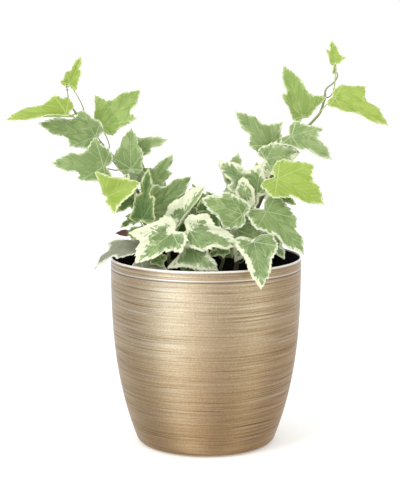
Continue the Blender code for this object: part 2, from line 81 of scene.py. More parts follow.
def new_piece(name, data):
    """An object with this name and data, in the scene."""
    piece = bpy.data.objects.new(name, data)
    bpy.context.scene.collection.objects.link(piece)
    return piece


camera = new_piece("studio_camera", bpy.data.cameras.new("studio_camera"))
camera.data.lens = LENS_MM
camera.data.sensor_width = SENSOR_MM
camera.data.clip_start = NEAREST_SEEN
camera.location = CAMERA_PLACE
camera.rotation_euler = (math.pi / 2.0 - CAMERA_PITCH_DOWN, 0.0, 0.0)
bpy.context.scene.camera = camera
bpy.context.scene.view_settings.view_transform = "Standard"
print("camera", round(-CAMERA_PLACE[1], 3), "m away, lens", LENS_MM, "mm")


# %% Colours and node helpers
SMOOTH = {"interpolation_type": "SMOOTHSTEP"}   # for a Map Range that eases in and out


def colour(code):
    """An sRGB hex colour as linear red, green, blue and alpha."""
    parts = [int(code[start:start + 2], 16) / 255.0 for start in (1, 3, 5)]
    linear = [part / 12.92 if part <= 0.04045 else ((part + 0.055) / 1.055) ** 2.4
              for part in parts]
    return (*linear, 1.0)


def plug_in(material, node, name, value):
    """Sets one input of a node, or links it from a socket or from a node's first live output."""
    socket = node.inputs[name] if isinstance(name, int) else next(
        entry for entry in node.inputs if entry.name == name and entry.enabled)
    if isinstance(value, bpy.types.Node):
        value = next(entry for entry in value.outputs if entry.enabled)
    if isinstance(value, bpy.types.NodeSocket):
        material.node_tree.links.new(value, socket)
    else:
        socket.default_value = value


def add_node(material, kind, inputs=None, **settings):
    """One node with its settings and its inputs. The kind may end in the node's operation."""
    kind, _, operation = kind.partition(" ")
    node = material.node_tree.nodes.new("ShaderNode" + kind)
    if operation:
        node.operation = operation
    if kind == "Mix":
        node.data_type = "RGBA"
    for name, value in settings.items():
        setattr(node, name, value)
    for name, value in (inputs or {}).items():
        plug_in(material, node, name, value)
    return node


def new_material(name, **settings):
    """A material and its Principled shader, with the shader's own values set."""
    material = bpy.data.materials.new(name)
    material.use_nodes = True
    shader = material.node_tree.nodes["Principled BSDF"]
    for setting, value in settings.items():
        title = setting.replace("_", " ").title().replace("Ior", "IOR")
        shader.inputs[title].default_value = value
    return material, shader


def speckled(name, dark, pale, scale, detail=2.0, bump=None, **settings):
    """A finish that a fine noise mixes from two colours; bump is its strength and its depth."""
    material, shader = new_material(name, **settings)
    add = partial(add_node, material)
    place = add("TexCoord").outputs["Object"]
    grain = add("TexNoise", {"Vector": place, "Scale": scale, "Detail": detail})
    shade = add("Mix", {"Factor": grain, "A": colour(dark), "B": colour(pale)})
    plug_in(material, shader, "Base Color", shade)
    if bump:
        relief = add("Bump", {"Height": grain, "Strength": bump[0], "Distance": bump[1]})
        plug_in(material, shader, "Normal", relief)
    return material


# %% Helpers for meshes
def deselect_all():
    if bpy.context.mode != "OBJECT":
        bpy.ops.object.mode_set(mode="OBJECT")
    bpy.ops.object.select_all(action="DESELECT")


def make_active(piece):
    deselect_all()
    piece.select_set(True)
    bpy.context.view_layer.objects.active = piece


def edit_selected(piece, part, chosen):
    """Opens a piece in edit mode with only the chosen vertices, edges or faces selected."""
    make_active(piece)
    bpy.ops.object.mode_set(mode="EDIT")
    bpy.ops.mesh.select_mode(type={"vertices": "VERT", "edges": "EDGE", "polygons": "FACE"}[part])
    bpy.ops.mesh.select_all(action="DESELECT")
    bpy.ops.object.mode_set(mode="OBJECT")
    items = getattr(piece.data, part)
    for index in chosen:
        items[index].select = True
    bpy.ops.object.mode_set(mode="EDIT")


def turn_faces_out():
    """Turns every face of the piece in edit mode outward, and leaves edit mode."""
    bpy.ops.mesh.select_all(action="SELECT")
    bpy.ops.mesh.normals_make_consistent(inside=False)
    bpy.ops.object.mode_set(mode="OBJECT")


def ringed_disc(sides, radius, height, insets, step):
    """A flat disc with rings of faces inset into it and a fan in the middle."""
    deselect_all()
    bpy.ops.mesh.primitive_circle_add(vertices=sides, radius=radius, fill_type="NGON",
                                      location=(0.0, 0.0, height))
    bpy.ops.object.transform_apply(location=True, rotation=False, scale=False)
    disc = bpy.context.object
    bpy.ops.object.mode_set(mode="EDIT")
    bpy.ops.mesh.select_mode(type="FACE")
    bpy.ops.mesh.select_all(action="SELECT")
    for _ in range(insets):
        bpy.ops.mesh.inset(thickness=step, depth=0.0)
    bpy.ops.mesh.poke()
    bpy.ops.object.mode_set(mode="OBJECT")
    return disc


# %% Floor and white tent
SURROUND = 1.03            # brightness of the white tent
FLOOR_SIZE = 12.0
PAPER = (0.93, 0.93, 0.93, 1.0)
WHITE = (1.0, 1.0, 1.0, 1.0)
PAPER_GLOW = 0.22          # the floor paper is lit from behind, so that it stays white
CLOTHS = (                 # compass direction in degrees, 0 is towards the camera, and its light
    (-180, (0.95, 0.93, 0.93)), (-135, (0.62, 0.57, 0.54)), (-100, (0.38, 0.32, 0.27)),
    (-75, (0.47, 0.41, 0.34)), (-38, (1.72, 1.76, 1.76)), (-12, (1.05, 0.92, 0.80)),
    (18, (0.46, 0.39, 0.33)), (34, (0.56, 0.47, 0.39)), (60, (1.00, 0.90, 0.73)),
    (95, (0.43, 0.34, 0.27)), (130, (0.56, 0.46, 0.40)), (180, (0.95, 0.93, 0.93)),
)
LOW_SHADE = (0.61, 0.50, 0.395)   # what the cloths are multiplied by straight down
HIGH_LIGHT = (1.09, 1.13, 1.17)   # and a little below eye level
EYE_LEVEL = (1.16, 1.30, 1.50)    # and once more at eye level, where the tent is coolest
SHADE_HEIGHTS = (-0.85, -0.02)    # rise of a mirrored ray from where to where each of them fades
EYE_HEIGHTS = (-0.32, -0.04)
WHITE_HEIGHTS = (0.35, 0.8)       # above these the tent is plain white
CLOTH_SCALE = 2.0          # a colour ramp holds values up to one, so the cloths are halved in it

deselect_all()
bpy.ops.mesh.primitive_plane_add(size=FLOOR_SIZE, location=(0.0, 0.0, 0.0))
floor = bpy.context.object
floor.name = "studio_floor"
floor.visible_glossy = False
paper_white, _ = new_material("white_paper_sweep", base_color=PAPER, roughness=1.0,
                              specular_ior_level=0.0, emission_color=WHITE,
                              emission_strength=PAPER_GLOW)
floor.data.materials.append(paper_white)


def hang_tent():
    """The surround: white to the camera and to soft light, cloths to mirrored light."""
    tent = bpy.data.worlds.new("white_tent")
    tent.use_nodes = True
    add = partial(add_node, tent)
    heading = add("SeparateXYZ", {"Vector": add("TexCoord").outputs["Generated"]})
    toward = add("Math MULTIPLY", {0: heading.outputs["Y"], 1: -1.0})
    compass = add("Math ARCTAN2", {0: heading.outputs["X"], 1: toward})
    share = add("MapRange", {"Value": compass, "From Min": -math.pi, "From Max": math.pi})
    cloths = add("ValToRGB", {"Fac": share})
    cloths.color_ramp.interpolation = "EASE"
    stops = cloths.color_ramp.elements
    for place, (direction, light) in enumerate(CLOTHS):
        spot = (direction + 180.0) / 360.0
        if 0 < place < len(CLOTHS) - 1:
            stop = stops.new(spot)
        else:
            stop = stops[0 if place == 0 else -1]
        stop.color = (*(part / CLOTH_SCALE for part in light), 1.0)
    low = add("MapRange",
              {"Value": heading.outputs["Z"], "From Min": SHADE_HEIGHTS[0],
               "From Max": SHADE_HEIGHTS[1]}, **SMOOTH)
    level = add("Mix",
                {"Factor": low, "A": (*(part * CLOTH_SCALE for part in LOW_SHADE), 1.0),
                 "B": (*(part * CLOTH_SCALE for part in HIGH_LIGHT), 1.0)})
    mirrored = add("VectorMath MULTIPLY", {0: cloths.outputs["Color"], 1: level})
    eye = add("MapRange",
              {"Value": heading.outputs["Z"], "From Min": EYE_HEIGHTS[0],
               "From Max": EYE_HEIGHTS[1]}, **SMOOTH)
    cool = add("Mix", {"Factor": eye, "A": WHITE, "B": (*EYE_LEVEL, 1.0)})
    mirrored = add("VectorMath MULTIPLY", {0: mirrored, 1: cool})
    high = add("MapRange",
               {"Value": heading.outputs["Z"], "From Min": WHITE_HEIGHTS[0],
                "From Max": WHITE_HEIGHTS[1]}, **SMOOTH)
    mirrored = add("Mix", {"Factor": high, "A": mirrored, "B": WHITE})
    ray = add("LightPath")
    seen = add("Mix",
               {"Factor": ray.outputs["Is Glossy Ray"], "A": (SURROUND, SURROUND, SURROUND, 1.0),
                "B": mirrored})
    plug_in(tent, tent.node_tree.nodes["Background"], "Color", seen)
    return tent


bpy.context.scene.world = hang_tent()
print("tent:", len(CLOTHS), "cloths, floor", FLOOR_SIZE, "m")

# %% The lamp
KEY_POWER = 7.0            # watts
KEY_SIZE = (0.5, 0.9)      # metres
KEY_PLACE = Vector((-0.72, -0.95, 1.05))
KEY_TARGET = Vector((0.0, 0.0, 0.15))

key_lamp = new_piece("key_lamp", bpy.data.lights.new("key_lamp", "AREA"))
key_lamp.data.shape = "RECTANGLE"
key_lamp.data.size, key_lamp.data.size_y = KEY_SIZE
key_lamp.data.energy = KEY_POWER
key_lamp.location = KEY_PLACE
aim = KEY_TARGET - KEY_PLACE
key_lamp.rotation_euler = aim.to_track_quat("-Z", "Y").to_euler()
key_lamp.visible_camera = False
key_lamp.visible_glossy = False
print("key lamp", round(aim.length, 2), "m away")


# %% [markdown]
# ## The cover pot
#
# A cover pot like this is pressed and rolled from thin sheet. It is round, so it could be turned
# from a profile with a screw or a spin. Here it is drawn up as a presser would draw it: a flat
# disc, whose edge is pulled up ring by ring along the wall's curve. That keeps the rings level,
# which suits the level brush marks. Solidify then gives the sheet its thickness, and the rim's
# two edges are rounded with a bevel, because a cut edge of sheet would be sharp and would not
# catch the light as the real rim does.

# %% The pot's profile
FOOT_RADIUS = 46.4 * MM
WALL_CURVE = 2.8           # how late the wall turns in towards the foot
FOOT_ROUND = 6.5 * MM
POT_WALL = 1.0 * MM
BAND_DEPTH = 6.8 * MM      # the fine line under the rim
BAND_WIDTH = 0.8 * MM
BAND_CUT = 0.25 * MM
POT_SIDES = 144
FOOT_RINGS = 8
WALL_RINGS = 40
RIM_HIGHLIGHT_DEPTH = 1.2 * MM      # the rim's painted highlight ends at a ring of its own


def wall_radius(height):
    """The pot's outer radius at a height, before its foot is rounded."""
    down = 1.0 - height / POT_HEIGHT
    return RIM_RADIUS - (RIM_RADIUS - FOOT_RADIUS) * down ** WALL_CURVE


def pot_stations():
    """(radius, height) of each ring, from the edge of the flat underside up to the rim."""
    lean = math.atan((RIM_RADIUS - FOOT_RADIUS) * WALL_CURVE / POT_HEIGHT)
    first = FOOT_ROUND * (1.0 - math.sin(lean))
    middle = wall_radius(first) - FOOT_ROUND * math.cos(lean)
    stations = []
    for step in range(FOOT_RINGS + 1):
        turn = (math.pi / 2.0 - lean) * step / FOOT_RINGS
        stations.append((middle + FOOT_ROUND * math.sin(turn),
                         FOOT_ROUND - FOOT_ROUND * math.cos(turn)))
    band_top = POT_HEIGHT - BAND_DEPTH
    band_low = band_top - BAND_WIDTH
    wall_end = band_low - BAND_WIDTH
    for step in range(1, WALL_RINGS + 1):
        height = first + (wall_end - first) * step / WALL_RINGS
        stations.append((wall_radius(height), height))
    stations += [(wall_radius(band_low), band_low),
                 (wall_radius(band_low) - BAND_CUT, band_low + BAND_WIDTH * 0.3),
                 (wall_radius(band_top) - BAND_CUT, band_top - BAND_WIDTH * 0.3),
                 (wall_radius(band_top), band_top),
                 (RIM_RADIUS, POT_HEIGHT - BAND_DEPTH * 0.5),
                 (RIM_RADIUS, POT_HEIGHT - RIM_HIGHLIGHT_DEPTH), (RIM_RADIUS, POT_HEIGHT)]
    return stations


stations = pot_stations()
print("pot profile:", len(stations), "rings")


# %% Draw the pot up from its disc
def pull_up(ring_stations):
    """Pulls the selected ring of edges through the stations that follow its own."""
    for here, there in zip(ring_stations, ring_stations[1:]):
        bpy.ops.mesh.extrude_edges_move(TRANSFORM_OT_translate={"value": (0, 0, there[1] - here[1])})
        grow = there[0] / here[0]
        bpy.ops.transform.resize(value=(grow, grow, 1.0), center_override=(0, 0, there[1]))


deselect_all()
bpy.ops.mesh.primitive_circle_add(vertices=POT_SIDES, radius=stations[0][0], fill_type="NGON",
                                  location=(0.0, 0.0, 0.0))
pot = bpy.context.object
pot.name = "brushed_cover_pot"
edit_selected(pot, "edges", range(POT_SIDES))
pull_up(stations)
turn_faces_out()
wall = pot.modifiers.new("sheet", "SOLIDIFY")
wall.thickness = POT_WALL
wall.offset = -1.0
wall.use_even_offset = True
bpy.ops.object.modifier_apply(modifier="sheet")


LEVEL_WITHIN = 0.01 * MM
ROUND_WITHIN = 0.1 * MM


def is_rim_edge(edge):
    """True for the rim's outer and inner edge, and false for the short ones across it."""
    first, last = (pot.data.vertices[index].co for index in edge.vertices)
    level = min(first.z, last.z) > POT_HEIGHT - LEVEL_WITHIN
    return level and abs(first.xy.length - last.xy.length) < ROUND_WITHIN


RIM_ROUND = 0.38 * MM
SMOOTH_BELOW = math.radians(38.0)
edit_selected(pot, "edges", [edge.index for edge in pot.data.edges if is_rim_edge(edge)])
bpy.ops.mesh.bevel(offset=RIM_ROUND, segments=3, affect="EDGES")
bpy.ops.object.mode_set(mode="OBJECT")
bpy.ops.object.shade_smooth_by_angle(angle=SMOOTH_BELOW)
print("cover pot:", len(pot.data.polygons), "faces,", round(pot.dimensions.x / MM, 2), "mm across,",
      round(pot.dimensions.z / MM, 2), "mm high")

# %% [markdown]
# ## Brushed gold lacquer
#
# The sheet is scratched round and round with grit before a gold lacquer goes on. So thin level
# scratches show as dark and pale threads half a millimetre to two millimetres apart, each a few
# centimetres long, with a fine sparkle between them. The palest, bluish-white threads are painted
# glints: light caught by single scratches, painted into the colour. Polar coordinates make the
# threads run round the pot: the pattern reads the direction from the axis, stretched very little,
# and the height, stretched a lot. The same threads drive the roughness and a shallow bump, so the
# bright stripe breaks up into them, and the tangent tells the shader that the brushing goes round
# the axis.

# %% Gold that threads of grit run round
GOLD_THREADS = {
    # threads per metre up the wall, spread round it, noise from which and to which it counts
    "fine": (1700.0, 0.9, 0.30, 0.70),
    "bands": (560.0, 0.5, 0.30, 0.70),
    "clouds": (60.0, 0.8, 0.30, 0.70),
    "dark scratches": (1000.0, 1.15, 0.58, 0.70),
    # the pale bluish-white threads are painted glints, where single scratches catch the light
    "painted glints": (1050.0, 1.05, 0.62, 0.74),
}

# The pale line at 6.7 mm is a painted highlight on the rolled line's upper lip, the dark one at 7.7
# mm its painted shadow; the two nearer the rim are fainter darker lines.
RIM_LINES_WITH_PAINTED_HIGHLIGHT_AND_SHADOW = (              # depth under the rim, half width, colour and strength of each line
    (2.2 * MM, 0.45 * MM, "#9A8264", 0.55), (4.6 * MM, 0.40 * MM, "#A08A6C", 0.40),
    (6.7 * MM, 0.50 * MM, "#FBF7F0", 0.95), (7.7 * MM, 0.45 * MM, "#7E684C", 0.65),
)


def brushed_gold():
    material, shader = new_material("brushed_gold_lacquer", metallic=0.88, roughness=0.34,
                                    coat_weight=0.25, coat_roughness=0.38)
    shader.inputs["Anisotropic"].default_value = 0.5
    add = partial(add_node, material)
    place = add("TexCoord").outputs["Object"]
    axes = add("SeparateXYZ", {"Vector": place})
    flat = add("CombineXYZ", {"X": axes.outputs["X"], "Y": axes.outputs["Y"]})
    around = add("VectorMath NORMALIZE", {0: flat})
    wander = add("TexNoise", {"Vector": around, "Scale": 0.9, "Detail": 0.0})
    height = add("Math MULTIPLY_ADD", {0: wander, 1: 5.0 * MM, 2: axes.outputs["Z"]})
    threads = {}
    for name, (per_metre, spread, low, high) in GOLD_THREADS.items():
        up = add("Math MULTIPLY", {0: height, 1: per_metre})
        up = add("CombineXYZ", {"Z": up})
        vector = add("VectorMath MULTIPLY_ADD", {0: around, 1: (spread, spread, 0.0), 2: up})
        grain = add("TexNoise", {"Vector": vector, "Scale": 1.0, "Detail": 1.0}, label=name)
        threads[name] = add("MapRange", {"Value": grain, "From Min": low, "From Max": high},
                            label=name)

    body = add("Mix", {"Factor": threads["bands"], "A": colour("#C2AA84"), "B": colour("#DAC9A7")})
    warm = add("Mix", {"Factor": threads["clouds"], "A": colour("#B89C74"), "B": colour("#DCCDB0")})
    body = add("Mix", {"Factor": 0.4, "A": body, "B": warm})
    fine = add("Mix", {"Factor": threads["fine"], "A": colour("#AD916A"), "B": colour("#EFE2C8")})
    body = add("Mix", {"Factor": 0.42, "A": body, "B": fine})
    dark = add("Math MULTIPLY", {0: threads["dark scratches"], 1: 0.52})
    body = add("Mix", {"Factor": dark, "A": body, "B": colour("#7C664C")})
    # Painted glints: pale bluish-white threads where single scratches catch the light.
    pale = add("Math MULTIPLY", {0: threads["painted glints"], 1: 0.6})
    body = add("Mix", {"Factor": pale, "A": body, "B": colour("#F2EEEA")})
    grit = add("TexNoise", {"Vector": place, "Scale": 1300.0, "Detail": 1.0})
    grit = add("MapRange",
               {"Value": grit, "From Min": 0.3, "From Max": 0.7, "To Min": 0.86, "To Max": 1.14})
    body = add("VectorMath SCALE", {"Vector": body, "Scale": grit})
    # Painted highlight on the upper lip of the rolled line, painted shadow at its lower edge, and two
    # fainter darker lines nearer the rim.
    for middle, half, code, strength in RIM_LINES_WITH_PAINTED_HIGHLIGHT_AND_SHADOW:
        gap = add("Math SUBTRACT", {0: axes.outputs["Z"], 1: POT_HEIGHT - middle})
        gap = add("Math ABSOLUTE", {0: gap})
        on_line = add("MapRange",
                      {"Value": gap, "From Min": half * 0.6, "From Max": half * 1.3,
                       "To Min": strength, "To Max": 0.0}, **SMOOTH)
        body = add("Mix", {"Factor": on_line, "A": body, "B": colour(code)})
    plug_in(material, shader, "Base Color", body)

    gloss = add("MapRange", {"Value": threads["fine"], "To Min": 0.42, "To Max": 0.29})
    plug_in(material, shader, "Roughness", gloss)
    bump = add("Bump", {"Height": threads["fine"], "Strength": 0.2, "Distance": 0.1 * MM})
    plug_in(material, shader, "Normal", bump)
    around_axis = add("Tangent", direction_type="RADIAL", axis="Z")
    plug_in(material, shader, "Tangent", around_axis)
    return material


# The inside is sprayed with a dead black primer that shows almost no light. The top of the rim is
# painted near white, less metallic and a little smoother: a painted highlight where the rim catches
# the light.
black_inside = speckled("sprayed_black_primer", "#0B0908", "#191512", 900.0, roughness=0.85,
                        specular_ior_level=0.2)
rim_top_painted_highlight = speckled("rim_top_painted_highlight", "#E2D8C8", "#FAF6F1", 140.0, metallic=0.25, roughness=0.35)
UNDERSIDE_RADIUS = 45.0 * MM
for finish in (brushed_gold(), black_inside, rim_top_painted_highlight):
    pot.data.materials.append(finish)
for face in pot.data.polygons:
    outward = face.center.xy.length > 1e-6 and face.normal.xy.dot(face.center.xy.normalized()) > 0.0
    # the top ring of the rim takes the near-white painted highlight
    if face.center.z > POT_HEIGHT - RIM_HIGHLIGHT_DEPTH:
        face.material_index = 2
    elif not outward and (face.normal.z > 0.0 or face.center.xy.length > UNDERSIDE_RADIUS):
        face.material_index = 1
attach(pot, "root")
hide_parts("cover_pot")
print("cover pot faces: outside, inside, rim =",
      [sum(face.material_index == slot for face in pot.data.polygons) for slot in range(3)])

# %% [markdown]
# ## Growing pot and soil
#
# The growing pot is moulded in black polypropylene, which is slightly shiny with a fine sparkle
# from the mould. Its solid already has the right shape, so it only gets this finish.
#
# Potting soil is peat with bits of bark. A flat disc would look like rubber, so the surface is a
# disc with rings inset into it and lifted by noise, and a few hundred crumbs are pressed in.

# %% Black growing pot
moulded_black = speckled("moulded_black_polypropylene", "#0D0D0D", "#1C1B1A", 1500.0,
                         bump=(0.3, 0.05 * MM), roughness=0.5)
growing_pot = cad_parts["nursery_pot"]
growing_pot.data.materials.clear()
growing_pot.data.materials.append(moulded_black)
print("growing pot keeps its solid:", len(growing_pot.data.polygons), "triangles")


# %% Soil with crumbs
SOIL_SIDES = 90
SOIL_RINGS = 26
SOIL_LUMP = 1.6 * MM
SOIL_LUMP_LENGTH = 5.0 * MM
SOIL_CALM = 3.0 * MM       # the soil lies flat this near the growing pot's wall
SOIL_FOOT_RADIUS = 36.5 * MM
WALL_GAP = 0.2 * MM
CRUMB_COUNT = 420
LARGEST_CRUMB = 2.2 * MM
CRUMB_MARGIN = 3.5 * MM    # no crumb lies nearer to the soil's edge
chance = np.random.default_rng(7)
soil_low, soil_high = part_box("soil")
soil_radius = soil_high.x - WALL_GAP

soil_top = soil_high.z - SOIL_LUMP
soil = ringed_disc(SOIL_SIDES, soil_radius, soil_top, SOIL_RINGS, soil_radius / (SOIL_RINGS + 1.0))
soil.name = "potting_soil_fill"
for vertex in soil.data.vertices:
    spot = vertex.co / SOIL_LUMP_LENGTH
    calm = min(1.0, (soil_radius - vertex.co.xy.length) / SOIL_CALM)
    lump = noise.fractal(spot, 1.0, 2.2, 4)
    vertex.co.z += calm * max(-1.0, min(0.95, lump)) * SOIL_LUMP
rim_edges = [edge.index for edge in soil.data.edges
             if all(soil.data.vertices[index].co.xy.length > soil_radius - 0.05 * MM
                    for index in edge.vertices)]
edit_selected(soil, "edges", rim_edges)
pull_up([(soil_radius, soil_top), (SOIL_FOOT_RADIUS, soil_low.z)])
bpy.ops.mesh.edge_face_add()
turn_faces_out()
print("soil:", len(soil.data.polygons), "faces, top at", round(soil_top / MM, 1), "mm")

# %% Crumbs
deselect_all()
bpy.ops.mesh.primitive_ico_sphere_add(subdivisions=2, radius=1.0)
crumb = bpy.context.object
bpy.ops.object.mode_set(mode="EDIT")
bpy.ops.transform.vertex_random(offset=0.22, seed=3)
bpy.ops.object.mode_set(mode="OBJECT")
crumb_points = np.array([vertex.co for vertex in crumb.data.vertices])
crumb_faces = np.array([face.vertices for face in crumb.data.polygons])
bpy.data.objects.remove(crumb, do_unlink=True)


def scattered(points, faces, count):
    """Turned, stretched and scaled copies of one crumb over the soil, as one mesh."""
    all_points, all_faces = [], []
    for number in range(count):
        turn, _ = np.linalg.qr(chance.normal(size=(3, 3)))
        size = chance.gamma(2.2, 0.42) * 0.75 * MM + 0.35 * MM
        stretch = np.array([1.0, chance.uniform(0.5, 0.9), chance.uniform(0.35, 0.7)])
        angle = chance.uniform(0.0, 2.0 * math.pi)
        radius = math.sqrt(chance.uniform()) * (soil_radius - CRUMB_MARGIN)
        middle = np.array([radius * math.cos(angle), radius * math.sin(angle),
                           soil_top + chance.uniform(-0.2, 0.6) * MM])
        all_points.append((points * stretch * min(size, LARGEST_CRUMB)) @ turn.T + middle)
        all_faces.append(faces + number * len(points))
    return np.concatenate(all_points), np.concatenate(all_faces)


points, faces = scattered(crumb_points, crumb_faces, CRUMB_COUNT)
crumb_mesh = bpy.data.meshes.new("soil_crumbs")
crumb_mesh.from_pydata(points.tolist(), [], faces.tolist())
crumbs = new_piece("soil_crumbs", crumb_mesh)
make_active(crumbs)
bpy.ops.object.mode_set(mode="EDIT")
turn_faces_out()
print("crumbs:", CRUMB_COUNT, "of", len(crumb_faces), "faces each")

# %% Peat and bark
# Damp peat is nearly black between its crumbs, with brown fibres and bark showing on top.
PEAT = {"scale": 320.0, "detail": 4.0, "bump": (0.8, 0.6 * MM), "roughness": 0.95,
        "specular_ior_level": 0.25}
soil.data.materials.append(speckled("damp_peat", "#0C0806", "#33241A", **PEAT))
crumbs.data.materials.append(speckled("bark_crumbs", "#1A110B", "#4A3524", **PEAT))
for piece in (soil, crumbs):
    make_active(piece)
    bpy.ops.object.shade_smooth()
    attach(piece, "root")
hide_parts("soil")
print("soil finished")

# %% [markdown]
# ## The plan of the plant
#
# Each vine is its foot in the soil and the points that it climbs through. Each leaf is where its
# stalk leaves the vine, where its blade begins and ends, the way its upper face looks, and how far
# its lobes, its base and its folds go. Places are millimetres from the middle of the pot's rim:
# x to the right, y to the back, z up.

# %% Vines and leaves
VINES = {
    "a": [(-28, 4), (-31, 2, 0), (-38, -1, 28), (-50, -1, 50), (-63, -2, 66), (-72, -3, 79),
          (-80, -2, 90), (-88, -1, 98), (-92, -2, 106), (-93, -3, 114)],
    "b": [(-12, 6), (-16, 4, 0), (-26, 3, 24), (-35, 2, 44), (-42, 2, 60), (-46, 2, 71)],
    "c": [(-26, -14), (-30, -15, 0), (-37, -14, 16), (-45, -13, 30), (-53, -14, 40),
          (-59, -16, 47)],
    "d": [(-18, -25), (-23, -28, -8), (-25, -29, 4), (-23, -27, 14), (-21, -25, 21)],
    "e": [(4, -20), (8, -26, -10), (11, -28, 0), (13, -25, 12), (10, -20, 24), (5, -18, 32)],
    "f": [(20, -14), (20, -22, -10), (22, -22, 4), (26, -19, 20), (30, -16, 33), (36, -13, 42),
          (43, -11, 51)],
    "g": [(18, 4), (22, 3, 0), (34, 2, 30), (44, 2, 52), (53, 3, 68), (62, 4, 80), (71, 5, 90),
          (77, 5, 97), (80, 5, 106), (81, 5, 113), (86, 7, 117), (89, 8, 122), (87, 8, 126)],
    "h": [(2, 22), (4, 27, 0), (8, 30, 18), (14, 31, 34), (22, 30, 48)],
}

